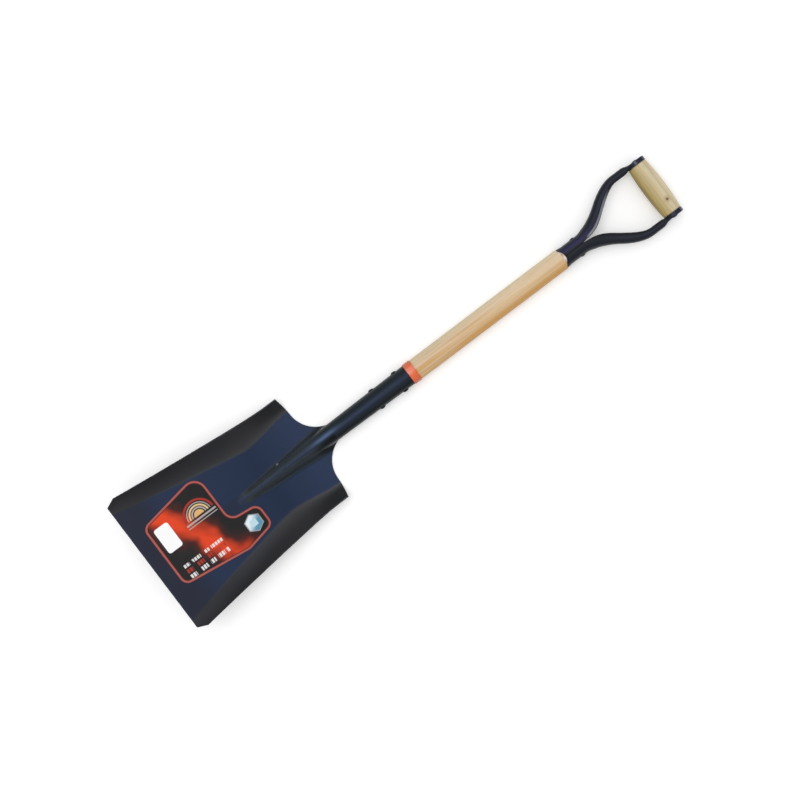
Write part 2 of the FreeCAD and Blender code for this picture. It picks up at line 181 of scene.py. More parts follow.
# Label, measured from the mouth edge and across: corner, side and rounding radius
LABEL_CORNERS = (
    (22.7, 56.4, 14.0), (137.0, 77.0, 21.0), (137.0, -11.7, 15.0), (185.7, -17.3, 15.0),
    (185.7, -58.1, 13.0), (134.5, -68.1, 14.0), (22.7, -51.8, 14.0),
)
LABEL_MIDDLE = (115.0, -25.0)
LABEL_LIFT = 0.12
LABEL_FILM = 0.2
LABEL_STEP = 3.0

# Where the frame's origin lies on the shovel
GRIP_LOW, GRIP_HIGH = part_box("grip")
AXIS_HEIGHT = (GRIP_LOW.z + GRIP_HIGH.z) / 2 / MM
ORIGIN_S = GRIP_S - (GRIP_LOW.x + GRIP_HIGH.x) / 2 / MM
NECK_HEIGHT = AXIS_HEIGHT + NECK_RADIUS - SHEET
NECK_S = NOTCH_RADIUS - math.sqrt(NOTCH_RADIUS ** 2 - (NOTCH_MIDDLE_Y - NECK_RADIUS) ** 2)

# Slow waves of the blade: share of the long wave, the waves' lengths, and where they fade at heel and mouth
LONG_WAVE_SHARE = 0.6
WAVE_LENGTHS = (37.0, 31.0, 43.0, 19.0, 90.0)
WAVE_FADE = (-40.0, -100.0)
WAVE_MOUTH_FADE = 25.0

# Lengths, or leans in radians, between which a tone of the blade's paint grows from nothing to full.
# The walls' tones, the steep leans and the far side's round-down shape painted light and shade.
FRONT_TONE = (-225.0, -285.0)
REAR_TONE = (-170.0, -20.0)
WALL_FRONT_TONE = (-150.0, -250.0)
NECK_TONE = (-5.0, 25.0)
TUBE_TONE = (-10.0, 30.0)
STEEP_LEAN = (0.6, 1.1)
ROUND_DOWN_LEAN = (0.45, 0.85)
# Lean given to the side walls so that the painted reflection (Flank) covers them
WALL_REFLECTION_LEAN = 0.5
WALL_FOOT_SHARE = 0.2
# Painted highlight on the crest at the neck: middle length, reach ahead and behind, place and width across
CREST_HIGHLIGHT_S = 27.0
CREST_HIGHLIGHT_REACH = (27.0, 18.0)
CREST_HIGHLIGHT_SIDE = 0.1
CREST_HIGHLIGHT_WIDTH = 0.12

# Tones of the yoke's paint on channel arms and on the round ferrule: angle and spread of a painted highlight band in
# degrees, and distance from the edge at which the painted glint along the lip starts and ends
BAND_ANGLE = (92.0, 62.0)
BAND_SPREAD = (34.0, 15.0)
LIP_START = (1.1, 0.4)
LIP_END = (7.5, 4.0)
LIP_GROWS = (6.0, 16.0)
LIP_ENDS = (85.0, 55.0)
FAR_FROM_RIM = 9.0

# Tints of the paint: mark, amount that shows, colour where the sheet is level and, if another, where it leans.
# The lean colours and the wall, steep, far side and crest tints are painted light, shade and reflection.
BLADE_TINTS = (
    ("rear", 1.0, (0.0092, 0.0178, 0.043), (0.032, 0.043, 0.052)),
    ("ridge", 0.8, (0.012, 0.0175, 0.035), (0.032, 0.043, 0.052)),
    # Lighter steep flanks of the ridge and its foot: painted light against their shade
    ("steep_ridge", 1.0, (0.100, 0.125, 0.142)),
    ("tube", 1.0, (0.010, 0.018, 0.038), (0.017, 0.023, 0.028)),
    # Darker -Y side of the socket where it rounds down: painted shade
    ("far_side", 0.8, (0.010, 0.018, 0.038), (0.003, 0.005, 0.006)),
    # Walls: grey painted reflection and shade, lighter at the rear and where steep (painted light), darker at the
    # front (painted shade)
    ("wall", 1.0, (0.026, 0.027, 0.031)),
    ("wall_rear", 1.0, (0.045, 0.046, 0.050)),
    ("steep_wall", 0.7, (0.078, 0.080, 0.086)),
    ("front", 0.95, (0.0115, 0.0135, 0.024), (0.016, 0.017, 0.019)),
    ("wall_front", 1.0, (0.0165, 0.017, 0.020)),
    # Painted highlight along the crest at the neck
    ("shine", 0.75, (0.055, 0.090, 0.170)),
)
YOKE_TINTS = (
    # Bluish painted highlight band round the ferrule
    ("band", 1.0, (0.030, 0.030, 0.085)),
    # On the arms a painted highlight band along the channel; on the cups a paler tone of the paint
    ("body", 0.8, (0.021, 0.025, 0.040)),
    ("seam", 0.8, (0.003, 0.004, 0.005)),
    # Pale painted glint along the upper shell's inner lip and on the cups' walls
    ("lip", 0.85, (0.31, 0.33, 0.39)),
)
PLAIN_LEAN = 0.3
NO_RIM = 0.01

# A chip in the paint at the ridge's foot: length, distance across and height above the floor, and radius in metres
CHIP_MIDDLE = (-63.3, 11.9, 2.8)
CHIP_RADIUS = 0.0029
# A knot in the grip, from its middle
KNOT_PLACE = (1.0, -24.5, 17.0)

# The label's print, in metres of its own map. Boxes: middle, half sizes, corner rounding
PALE_INK = (0.82, 0.80, 0.79)
GREY_INK = (0.40, 0.38, 0.37)
RED_INK = (0.42, 0.035, 0.02)
PANEL_BOX = (0.0455, 0.022, 0.0125, 0.0215, 0.004)
LINE_BOXES = ((0.104, 0.0175, 0.0265, 0.0014, 0.0004), (0.104, 0.0125, 0.0265, 0.0007, 0.0004))
# Rows of ticks: distance across, half height and ink
TICK_ROWS = ((-0.047, 0.0034, PALE_INK), (-0.0375, 0.0032, RED_INK), (-0.0285, 0.0026, PALE_INK))
TICK_ROW_MIDDLE = 0.074
TICK_ROW_HALF_LENGTH = 0.036
SUN_MIDDLE = (0.104, 0.022)
# Rings of the half sun: radius, half width and ink
SUN_RINGS = (
    (0.0, 0.0085, (0.70, 0.42, 0.16)), (0.0115, 0.0012, GREY_INK), (0.0155, 0.0014, (0.74, 0.50, 0.24)),
    (0.0195, 0.0008, GREY_INK), (0.0240, 0.0017, (0.36, 0.03, 0.018)),
)
HEXAGON_MIDDLE = (0.1625, -0.0385)
HEXAGON_BOX = (*HEXAGON_MIDDLE, 0.0055, 0.0055, 0.001)
PRINT_SOFTNESS = 0.0004

# Studio, in metres
FLOOR_HALF = 6.0
FLOOR_DROP = 0.0005
# Lamps: name, setting of its power, place, width and depth
LAMPS = (
    ("key", "key_power", (-0.2, 0.3, 2.4), 2.4, 2.4),
    ("strip", "strip_power", (-0.5, 0.25, 2.1), 0.5, 1.2),
)
CAMERA_PLACE = (-0.0409, -0.0233, 1.718)
CAMERA_TURN = math.radians(-37.1)

# Fineness of the grids; crowding packs rows towards the shoulders and columns towards the ridge's foot
BLADE_ROWS = 170
SOCKET_ROWS = 70
RIDGE_COLUMNS = 24
FLOOR_COLUMNS = 26
WALL_COLUMNS = 20
ROW_CROWDING = 1.35
COLUMN_CROWDING = 1.5
LIMIT_ROUNDS = 24
YOKE_ROWS = 150
YOKE_COLUMNS = 56
ROUND_SIDES = 96
RIVET_SIDES = 40
PIN_SIDES = 48
WELD_DISTANCE = 1e-6
THIN_EDGE = 1e-7
SHEET_SHARP_ANGLE = 60.0


def smooth(t):
    """0 to 1 with level ends: three t squared less two t cubed, held beyond both ends."""
    t = np.clip(t, 0.0, 1.0)
    return t * t * (3 - 2 * t)


def grow(value, start, full):
    """Smooth change from 0 at start to 1 at full."""
    return smooth((value - start) / (full - start))


def mix(a, b, t):
    """Straight line from a to b: a plus t times their difference."""
    return a + (b - a) * t


def floor_path(s):
    """Blade floor at length s: level behind the shoulders, a circular heel of HEEL_RADIUS, then straight at LIFT."""
    turned = np.clip(-s, 0.0, HEEL_LENGTH) / HEEL_RADIUS
    straight = np.maximum(0.0, -s - HEEL_LENGTH)
    x = np.maximum(0.0, s) - HEEL_RADIUS * np.sin(turned) - straight * math.cos(LIFT)
    z = SHEET + HEEL_RADIUS * (1 - np.cos(turned)) + straight * math.sin(LIFT)
    return x, z, turned


def unevenness(s, y, amount):
    """Slow waves left by pressing and hardening: products of sines along and across, faded at heel and mouth."""
    along, bend, across, short, drift = WAVE_LENGTHS
    long_wave = np.sin(s / along + 0.8 * np.sin(y / bend)) * np.cos(y / across + 0.5)
    waves = mix(np.sin(y / short + s / drift), long_wave, LONG_WAVE_SHARE)
    return amount * waves * grow(s, *WAVE_FADE) * smooth((s + BLADE_LENGTH) / WAVE_MOUTH_FADE)


def on_sheet(s, y, n):
    """Point n above the floor at length s, measured square to the floor, and y across."""
    x, z, slope = floor_path(s)
    return np.stack((x + n * np.sin(slope), y, z + n * np.cos(slope)), -1)


def ridge_form(s):
    """Ridge section: the crest falls as one less t squared, to a power, and the foot narrows to the tip's width.

    Gives crest height, radius and angle of the crest arc, length of the straight leg, and half width at the foot."""
    t = np.clip((NECK_S - s) / RIDGE_LENGTH, 0.0, 1.0)
    height = NECK_HEIGHT * (1 - t * t) ** RUN_OUT_POWER
    eased = t * t * (1 + RIDGE_EASE_SHARE) / (t + RIDGE_EASE_SHARE)
    foot = mix(RIDGE_WIDTH, RIDGE_TIP_WIDTH, eased) / 2
    turn = math.pi / 2 - 2 * np.arctan2(np.maximum(0.0, foot - height), foot)
    return height, foot * NECK_RADIUS * 2 / RIDGE_WIDTH, turn, np.abs(height - foot), foot


def socket_form(s):
    """Socket section: an arc whose angle grows until only the seam is left, with a leg that shortens to none."""
    radius = mix(NECK_RADIUS, SOCKET_RADIUS, (s - NECK_S) / (SOCKET_LENGTH - NECK_S))
    t = np.clip((s - NECK_S) / SEAM_CLOSE_LENGTH, 0.0, 1.0)
    curl = t * (2 - t)
    closed = math.pi - np.arcsin(SEAM_GAP / 2 / radius)
    leg = (NECK_HEIGHT - RIDGE_WIDTH / 2) * (1 - curl)
    return AXIS_HEIGHT + radius - SHEET, radius, mix(math.pi / 2, closed, curl), leg, radius


def crest_section(form, s, share):
    """Run along arc and leg by share of their length: y, height above the floor and lean at that run."""
    height, radius, turn, leg, _ = form(s)
    run = np.abs(share) * (radius * turn + leg)
    angle = np.minimum(turn, run / radius)
    past = np.maximum(0.0, run - radius * turn)
    y = radius * np.sin(angle) + past * np.cos(turn)
    return np.sign(share) * y, height - radius * (1 - np.cos(angle)) - past * np.sin(turn), angle


def edge_y(s):
    """Half width of the blade: shoulder half width, an exponential bend, then a widening to a power of the length."""
    start = PARALLEL_LENGTH / 2
    ahead = np.maximum(0.0, -s - start)
    bend = start * (1 - np.exp(-ahead / start))
    share = (ahead - bend) / (BLADE_LENGTH - 2 * start)
    return mix(SHOULDER_WIDTH / 2, MOUTH_WIDTH / 2, share ** WIDENING_POWER)


def wall_start(s):
    """Half width of the floor: a smooth step down to its waist, then a widening to a power of the length ahead."""
    ahead = np.maximum(0.0, (-s - HEEL_LENGTH) / (BLADE_LENGTH - HEEL_LENGTH))
    behind = mix(FLOOR_WIDTH, FLOOR_WAIST_WIDTH, smooth(-s / HEEL_LENGTH))
    return behind / 2 + (MOUTH_FLOOR_WIDTH - FLOOR_WAIST_WIDTH) / 2 * ahead ** FLOOR_WIDENING_POWER


def wing_section(s, column):
    """Fillet arc at the ridge's foot and flat floor by run length, then a side wall that rises as a parabola.

    Gives y, height above the floor, a lean for the painted reflection, the wall's share and the sheet's true lean."""
    _, radius, turn, _, foot = ridge_form(s)
    start = wall_start(s)
    bend = foot - radius
    arc = bend * turn
    run = (arc + start - foot) * np.minimum(1.0, column / FLOOR_COLUMNS) ** COLUMN_CROWDING
    tilt = np.maximum(0.0, turn - run / bend)
    share = np.maximum(0.0, (column - FLOOR_COLUMNS) / WALL_COLUMNS)
    width = edge_y(s) - start
    rise = mix(WALL_HEIGHT, MOUTH_WALL_HEIGHT, smooth(-s / BLADE_LENGTH))
    y = foot - bend * np.sin(tilt) + np.maximum(0.0, run - arc) + width * share
    n = bend * (1 - np.cos(tilt)) + rise * share ** 2
    on_wall = smooth(share / WALL_FOOT_SHARE) + 0 * y
    true_lean = np.maximum(tilt, np.arctan(2 * rise * share / width))
    return y, n, np.maximum(tilt, WALL_REFLECTION_LEAN * on_wall), on_wall, true_lean


def corner_cut(y):
    """How far the cut corner takes the mouth back at y across."""
    return np.maximum(0.0, y - MOUTH_WIDTH / 2 + CORNER_ACROSS) * CORNER_ALONG / CORNER_ACROSS


def wing_limits(column):
    """Length at which each wing column starts, at mouth or cut corner, and ends, at notch or raked shoulder."""
    start = -BLADE_LENGTH + corner_cut(wing_section(-BLADE_LENGTH + 0 * column, column)[0])
    end = NECK_S + 0 * column
    for _ in range(LIMIT_ROUNDS):
        y = np.clip(wing_section(end, column)[0], NECK_RADIUS, SHOULDER_WIDTH / 2)
        inner = np.minimum(y, NOTCH_MIDDLE_Y)
        notch = NOTCH_RADIUS - np.sqrt(NOTCH_RADIUS ** 2 - (NOTCH_MIDDLE_Y - inner) ** 2)
        outer = np.maximum(0.0, y - NOTCH_MIDDLE_Y)
        end = notch - SHOULDER_RAKE * outer / (SHOULDER_WIDTH / 2 - NOTCH_MIDDLE_Y)
    return start, end


def over_width(on_wing, on_ridge, turned=1):
    """Values of one wing, mirrored to the other side, with the ridge's values between them."""
    return np.hstack((turned * on_wing[:, ::-1], on_ridge, on_wing))


def blade_marks(s, y, wing, ridge, s_socket, socket, shares):
    """Where each tint of the paint shows, painted light and shade among them, over the blade's grid and the socket's.

    The crest's painted highlight is a bell curve across the ridge times one along it, with its own reach either side."""
    def whole(on_blade, on_socket=0.0):
        return np.concatenate((on_blade.ravel(), (on_socket + 0 * s_socket).ravel()))

    off_wing, off_ridge = 0 * wing[0], 0 * ridge[0]
    wall = over_width(wing[3], off_ridge)
    steep = grow(over_width(wing[4], ridge[2]), *STEEP_LEAN)
    crest = np.exp(-((shares - CREST_HIGHLIGHT_SIDE) / CREST_HIGHLIGHT_WIDTH) ** 2)
    lengths = whole(s, s_socket)
    reach = np.where(lengths < CREST_HIGHLIGHT_S, *CREST_HIGHLIGHT_REACH)
    along_crest = np.exp(-((lengths - CREST_HIGHLIGHT_S) / reach) ** 2)
    rim = np.minimum(edge_y(s) - np.abs(y), s + BLADE_LENGTH - corner_cut(np.abs(y)))
    rear = grow(s, *REAR_TONE)
    tube = grow(s, *TUBE_TONE)
    return {
        # Lean of the sheet and of the socket's round, which blends in the painted reflection (Flank)
        "lean": whole(over_width(wing[2], ridge[2]), socket[2] * 0.45 + 0.1),
        "rim": whole(rim, FAR_FROM_RIM) * MM,
        # Walls: grey painted reflection and shade, lighter at the rear and where steep (painted light), darker at the
        # front (painted shade)
        "wall": whole(wall),
        "wall_rear": whole(wall * rear),
        "wall_front": whole(wall * grow(s, *WALL_FRONT_TONE)),
        "front": whole(grow(s, *FRONT_TONE)),
        "rear": whole(rear),
        "tube": whole(tube, 1.0),
        # shine: painted highlight along the crest at the neck
        "shine": whole(over_width(off_wing, off_ridge + crest), crest) * along_crest,
        "ridge": whole(over_width(off_wing, off_ridge + 1)),
        # Lighter steep flanks of the ridge and its foot: painted light against their shade
        "steep_ridge": whole(steep * (1 - wall) * (1 - grow(s, *NECK_TONE))),
        "steep_wall": whole(steep * wall),
        # Darker -Y side of the socket where it rounds down: painted shade
        "far_side": whole(tube * (y < 0), grow(socket[2], *ROUND_DOWN_LEAN) * (socket[0] < 0)),
    }


def place(points):
    """Millimetres along the shovel, made metres of the frame."""
    return (np.asarray(points, float) - (ORIGIN_S, 0.0, 0.0)) * MM


def grid_faces(rows, columns, wrap=False):
    """Quads of a grid numbered row by row: each joins a point, its neighbour and the two of the next row."""
    down, side = np.meshgrid(np.arange(rows - 1), np.arange(columns if wrap else columns - 1), indexing="ij")
    beside = (side + 1) % columns
    return np.stack((down * columns + side, down * columns + beside, (down + 1) * columns + beside,
                     (down + 1) * columns + side), -1).reshape(-1, 4)


def make_mesh_piece(name, points, faces, nodes, finish, marks=None, weld=True, sharp=40.0):
    """A smooth-shaded mesh object riding on the shovel, with one float attribute for each named mark."""
    mesh = bpy.data.meshes.new(name)
    mesh.from_pydata(place(points).reshape(-1, 3).tolist(), [], faces.tolist())
    for mark, values in (marks or {}).items():
        attribute = mesh.attributes.new(mark, "FLOAT", "POINT")
        attribute.data.foreach_set("value", np.asarray(values, np.float32).ravel())
    if weld:
        body = bmesh.new()
        body.from_mesh(mesh)
        bmesh.ops.remove_doubles(body, verts=body.verts, dist=WELD_DISTANCE)
        bmesh.ops.dissolve_degenerate(body, edges=body.edges, dist=THIN_EDGE)
        bmesh.ops.recalc_face_normals(body, faces=body.faces)
        body.to_mesh(mesh)
        body.free()
    mesh.shade_smooth()
    mesh.set_sharp_from_angle(angle=math.radians(sharp))
    mesh.materials.append(finish.material)
    piece = bpy.data.objects.new(name, mesh)
    bpy.context.scene.collection.objects.link(piece)
    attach(piece, "root")
    if nodes:
        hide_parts(*nodes)
    return piece


def make_turned_piece(name, rings, nodes, finish, marks=None):
    """A piece from rings of points, each joined to the next all the way round."""
    return make_mesh_piece(name, rings, grid_faces(*rings.shape[:2], wrap=True), nodes, finish, marks)


def give_thickness(piece, thickness, bevel, angle=40.0):
    """The wall behind an open sheet, and a small round on its cut edges."""
    wall = piece.modifiers.new("wall", "SOLIDIFY")
    wall.thickness = thickness * MM
    wall.offset = -1.0
    rounding = piece.modifiers.new("edges", "BEVEL")
    rounding.width = bevel * MM
    rounding.segments = 2
    rounding.limit_method = "ANGLE"
    rounding.angle_limit = math.radians(angle)
    rounding.harden_normals = True


def turned_along(profile, wobble=0.0):
    """A profile of length and radius turned about the shaft's axis, its radius eased by a slow wave round it."""
    s, radius = np.asarray(profile, float).T[:, :, None]
    angle = np.linspace(0.0, 2 * math.pi, ROUND_SIDES, endpoint=False)
    eased = radius * (1 + wobble * np.sin(2 * angle + s / 70) * np.sin(s / 43 + 1))
    return np.stack((s + 0 * eased, eased * np.cos(angle), AXIS_HEIGHT + eased * np.sin(angle)), -1)


def turned_across(profile, middle_s, sides=ROUND_SIDES, saddle=None):
    """A profile of distance across and radius turned about a cross axis; saddle rings sink to follow a round tube.

    The sinking is the tube's radius less the root of its square less the height squared."""
    profile = np.asarray(profile, float)
    angle = np.linspace(0.0, 2 * math.pi, sides, endpoint=False)
    radius = profile[:, 1, None]
    high = radius * np.sin(angle)
    y = profile[:, 0, None] + 0 * high
    if saddle:
        y = y - profile[:, 2, None] * (saddle - np.sqrt(np.maximum(0.0, saddle ** 2 - high ** 2)))
    return np.stack((middle_s + radius * np.cos(angle), y, AXIS_HEIGHT + high), -1)


class Wiring:
    """Adds nodes to a tree and feeds their inputs with values or with other nodes' outputs."""

    def __init__(self, tree):
        self.tree = tree

    def add(self, kind, inputs=None, **settings):
        node = self.tree.nodes.new("ShaderNode" + kind)
        for name, value in settings.items():
            setattr(node, name, value)
        for name, value in (inputs or {}).items():
            self.feed(node.inputs[name], value)
        return node

    def feed(self, socket, value):
        if isinstance(value, bpy.types.NodeSocket):
            self.tree.links.new(value, socket)
        elif socket.type == "RGBA":
            socket.default_value = (*value, 1.0)
        else:
            socket.default_value = value

    def sum(self, operation, a, b=0.0, c=0.0):
        return self.add("Math", {0: a, 1: b, 2: c}, operation=operation).outputs[0]

    def times(self, a, b):
        return self.sum("MULTIPLY", a, b)

    def plus(self, a, b):
        return self.sum("ADD", a, b)

    def less(self, a, b):
        return self.sum("SUBTRACT", a, b)

    def size(self, a):
        return self.sum("ABSOLUTE", a)

    def length(self, vector):
        return self.add("VectorMath", {0: vector}, operation="LENGTH").outputs["Value"]

    def axes(self, vector):
        return self.add("SeparateXYZ", {"Vector": vector}).outputs

    def blend(self, factor, a, b, kind="MIX"):
        return self.add("Mix", {0: factor, 6: a, 7: b}, data_type="RGBA", blend_type=kind).outputs[2]

    def step(self, value, low, high, to_low=0.0, to_high=1.0):
        """Smooth change between two thresholds."""
        inputs = {"Value": value, "From Min": low, "From Max": high, "To Min": to_low, "To Max": to_high}
        return self.add("MapRange", inputs, interpolation_type="SMOOTHSTEP").outputs[0]

    def noise(self, vector, scale, detail=2.0, roughness=0.5, distortion=0.0):
        inputs = {"Vector": vector, "Scale": scale, "Detail": detail, "Roughness": roughness,
                  "Distortion": distortion}
        return self.add("TexNoise", inputs).outputs[0]

    def stretched(self, vector, scale, location=(0.0, 0.0, 0.0)):
        return self.add("Mapping", {"Vector": vector, "Scale": scale, "Location": location}).outputs[0]

    def streaks(self, vector, scale, *shape):
        """Noise with its own scale along each axis."""
        return self.noise(self.stretched(vector, scale), 1.0, *shape)

    def mark(self, name):
        return self.add("Attribute", attribute_name=name).outputs["Fac"]


def new_group(name, inputs, outputs):
    """An empty shader node group: its wiring, what it is given and what it gives out."""
    tree = bpy.data.node_groups.new(name, "ShaderNodeTree")
    for label, kind in inputs:
        tree.interface.new_socket(label, in_out="INPUT", socket_type="NodeSocket" + kind)
    for label, kind in outputs:
        tree.interface.new_socket(label, in_out="OUTPUT", socket_type="NodeSocket" + kind)
    return Wiring(tree), tree.nodes.new("NodeGroupInput").outputs, tree.nodes.new("NodeGroupOutput").inputs


def enamel_group():
    """Satin enamel: cloudy tone, faint dust, chips on worn rims, fine orange peel and painted reflection."""
    found = bpy.data.node_groups.get("Enamel")
    if found:
        return found
    wires, given, out = new_group(
        "Enamel",
        [("Vector", "Vector"), ("Face", "Color"), ("Flank", "Color"), ("Lean", "Float"), ("Rim", "Float"),
         ("Gloss", "Float")],
        [("Color", "Color"), ("Roughness", "Float"), ("Height", "Float")],
    )
    vector = given["Vector"]
    cloud = wires.streaks(vector, (7.0, 16.0, 16.0), 3.0)
    streak = wires.streaks(vector, (14.0, 90.0, 60.0))
    # Painted reflection and shade: the colour turns from Face to the greyer Flank as the sheet leans away from level
    leaned = wires.plus(given["Lean"], wires.times(wires.less(streak, 0.5), 0.18))
    colour = wires.blend(wires.step(leaned, 0.04, 0.42), given["Face"], given["Flank"])
    tone = wires.step(cloud, 0.3, 0.7)
    colour = wires.blend(wires.times(tone, 0.3), colour, (1.3, 1.2, 1.15), "MULTIPLY")
    dust = wires.step(wires.noise(vector, 420.0, 3.0, 0.7), 0.72, 0.8)
    colour = wires.blend(wires.times(dust, 0.06), colour, (0.35, 0.36, 0.38))
    chip = wires.step(wires.streaks(vector, (90.0, 90.0, 90.0), 4.0, 0.7), 0.5, 0.62)
    worn = wires.times(wires.step(given["Rim"], 0.0012, 0.0002), chip)
    wires.feed(out["Color"], wires.blend(wires.times(worn, 0.6), colour, (0.16, 0.17, 0.2)))
    rough = wires.plus(given["Gloss"], wires.times(cloud, 0.12))
    wires.feed(out["Roughness"], wires.plus(rough, wires.times(dust, 0.2)))
    wires.feed(out["Height"], wires.plus(wires.times(wires.noise(vector, 900.0), 0.3), cloud))
    return wires.tree


def grain_group():
    """Straight-grained wood: long fibres, growth bands, pores, and a tan and a cream side."""
    found = bpy.data.node_groups.get("Wood grain")
    if found:
        return found
    wires, given, out = new_group(
        "Wood grain",
        [("Vector", "Vector"), ("Pale", "Color"), ("Tan", "Color"), ("Brown", "Color"), ("Cream", "Color"),
         ("Streak", "Float")],
        [("Color", "Color"), ("Roughness", "Float"), ("Height", "Float")],
    )
    vector = given["Vector"]
    drift = wires.streaks(vector, (2.2, 28.0, 28.0))
    bands = wires.streaks(vector, (4.0, 130.0, 60.0), 3.0, 0.55, 0.7)
    fibres = wires.streaks(vector, (14.0, 700.0, 700.0), 3.0, 0.6)
    pores = wires.step(wires.streaks(vector, (40.0, 1500.0, 1500.0)), 0.64, 0.72)
    late_wood = wires.streaks(vector, (3.0, 300.0, 150.0), 2.0, 0.5, 0.6)
    side = wires.sum("MULTIPLY_ADD", wires.less(drift, 0.5), 0.9, given["Streak"])
    colour = given["Pale"]
    for value, low, high, amount, tint in (
        (bands, 0.42, 0.64, 1.0, "Tan"), (side, 0.25, 0.85, 0.9, "Tan"), (side, 0.3, -0.1, 0.8, "Cream"),
        (late_wood, 0.5, 0.62, 0.3, "Brown"), (late_wood, 0.46, 0.34, 0.35, "Pale"),
        (fibres, 0.5, 0.8, 0.4, "Brown"),
    ):
        colour = wires.blend(wires.step(value, low, high, 0.0, amount), colour, given[tint])
    wires.feed(out["Color"], wires.blend(wires.times(pores, 0.4), colour, given["Brown"]))
    wires.feed(out["Roughness"], wires.step(fibres, 0.3, 0.7, 0.42, 0.56))
    wires.feed(out["Height"], wires.less(wires.times(fibres, 0.6), wires.times(pores, 0.8)))
    return wires.tree


class Finish(Wiring):
    """A new material: its Principled shader, its wiring and its Object coordinates."""

    def __init__(self, name):
        self.material = bpy.data.materials.new(name)
        self.material.use_nodes = True
        super().__init__(self.material.node_tree)
        self.shader = self.tree.nodes["Principled BSDF"]
        self.vector = self.add("TexCoord").outputs["Object"]

    def lay(self, **values):
        """Feed the shader's inputs; an underscore stands for a space in their names."""
        for label, value in values.items():
            self.feed(self.shader.inputs[label.replace("_", " ")], value)

    def over(self, share, tint, kind="MIX"):
        """Blend a tint over the present base colour by a share."""
        present = self.shader.inputs["Base Color"].links[0].from_socket
        self.lay(Base_Color=self.blend(share, present, tint, kind))

    def bump(self, height, distance, strength):
        bump = self.add("Bump", {"Height": height, "Distance": distance, "Strength": strength})
        self.lay(Normal=bump.outputs[0])

    def take(self, group, inputs, specular, distance, strength):
        """Lay a node group's colour, roughness and height on the shader."""
        given = self.add("Group", inputs, node_tree=group).outputs
        self.lay(Base_Color=given["Color"], Roughness=given["Roughness"], Specular_IOR_Level=specular)
        self.bump(given["Height"], distance, strength)


def enamel(name, face, flank, metallic, gloss, tints=None):
    """Satin paint; each tint is a mark, the amount of it that shows, and the colour it turns face and flank to.

    Without tints the piece has no marks, and gets one lean and no worn rims."""
    finish = Finish(name)
    for mark, amount, tint_face, *tint_flank in tints or ():
        share = finish.times(finish.mark(mark), amount)
        face = finish.blend(share, face, tint_face)
        flank = finish.blend(share, flank, *(tint_flank or [tint_face]))
    lean = finish.mark("lean") if tints else PLAIN_LEAN
    rim = finish.mark("rim") if tints else NO_RIM
    inputs = {"Vector": finish.vector, "Face": face, "Flank": flank, "Lean": lean, "Rim": rim, "Gloss": gloss}
    finish.take(enamel_group(), inputs, 0.3, 0.0001, 0.5)
    finish.lay(Metallic=metallic)
    return finish


def wood(name, colours, turn, middle, streak, start):
    """Wood whose grain runs along X turned by turn, tan on one side and cream on the other.

    The side is start less streak times the distance across from the middle line."""
    finish = Finish(name)
    turned = finish.add("Mapping", {"Vector": finish.vector, "Rotation": (0.0, 0.0, turn)}).outputs[0]
    side = finish.sum("MULTIPLY_ADD", finish.axes(turned)["Y"], -streak, start + streak * middle)
    inputs = {"Vector": turned, "Streak": side, **colours}
    finish.take(grain_group(), inputs, 0.35, 0.00015, 0.4)
    return finish


def add_chip(finish):
    """A pale chip in the blade's paint: a soft ball round a place, twice as high as it is wide."""
    x, y, z = place(on_sheet(*CHIP_MIDDLE))
    ball = finish.stretched(finish.vector, (1.0, 1.0, 0.5), (-x, -y, -z / 2))
    share = finish.step(finish.length(ball), CHIP_RADIUS, CHIP_RADIUS * 0.3, 0.0, 0.9)
    finish.over(share, (0.42, 0.45, 0.48))


def add_end_marks(finish):
    """The shaft grows paler and tanner towards the yoke; in its mouth the end is bare and the sides dark brown."""
    end = float(place((FERRULE_S, 0.0, 0.0))[0])
    x, y, z = finish.axes(finish.vector)
    paler = finish.times(finish.step(x, end - 0.24, end - 0.08, 0.0, 0.3), finish.step(y, -0.013, -0.003))
    tanner = finish.times(finish.step(x, end - 0.26, end - 0.16, 0.0, 0.7), finish.step(y, -0.004, -0.013))
    patch = finish.step(finish.streaks(finish.vector, (150.0, 260.0, 100.0)), 0.4, 0.5)
    bare = finish.times(finish.step(x, end - 0.0035, end - 0.0005), patch)
    aside = finish.step(finish.size(y), 0.0105, 0.013)
    on_top = finish.times(finish.step(z, AXIS_HEIGHT * MM, (AXIS_HEIGHT + 4) * MM),
                          finish.less(0.8, finish.times(aside, 0.8)))
    # Dark brown at the sides right at the ferrule's mouth
    dark_mouth_sides = finish.times(finish.step(x, end - 0.003, end - 0.001), aside)
    finish.over(paler, (0.80, 0.66, 0.46))
    finish.over(tanner, (0.57, 0.30, 0.075))
    finish.over(finish.times(bare, on_top), (0.86, 0.80, 0.82))
    finish.over(finish.times(dark_mouth_sides, 0.9), (0.05, 0.014, 0.010))


def paint_grip_light_and_shade(finish, middle):
    """Painted shade and light on the grip: browner on the D side, most at its edge, and paler on the far side."""
    along = finish.less(finish.axes(finish.vector)["X"], middle)
    for low, high, tint in ((-0.003, -0.009, (0.89, 0.885, 0.79)), (-0.0148, -0.0176, (0.66, 0.60, 0.58)),
                            (0.007, 0.011, (1.13, 1.12, 1.14))):
        finish.over(finish.step(along, low, high), tint, "MULTIPLY")


def add_knot(finish):
    """A small dark knot on the grip: a soft disc with a halo."""
    knot = tuple(place(np.array(KNOT_PLACE) + (GRIP_S, 0.0, AXIS_HEIGHT)))
    away = finish.add("VectorMath", {0: finish.vector, 1: knot}, operation="DISTANCE").outputs["Value"]
    finish.over(finish.step(away, 0.008, 0.002, 0.0, 0.5), (0.34, 0.2, 0.08))
    finish.over(finish.step(away, 0.0028, 0.0012, 0.0, 0.85), (0.1, 0.05, 0.02))


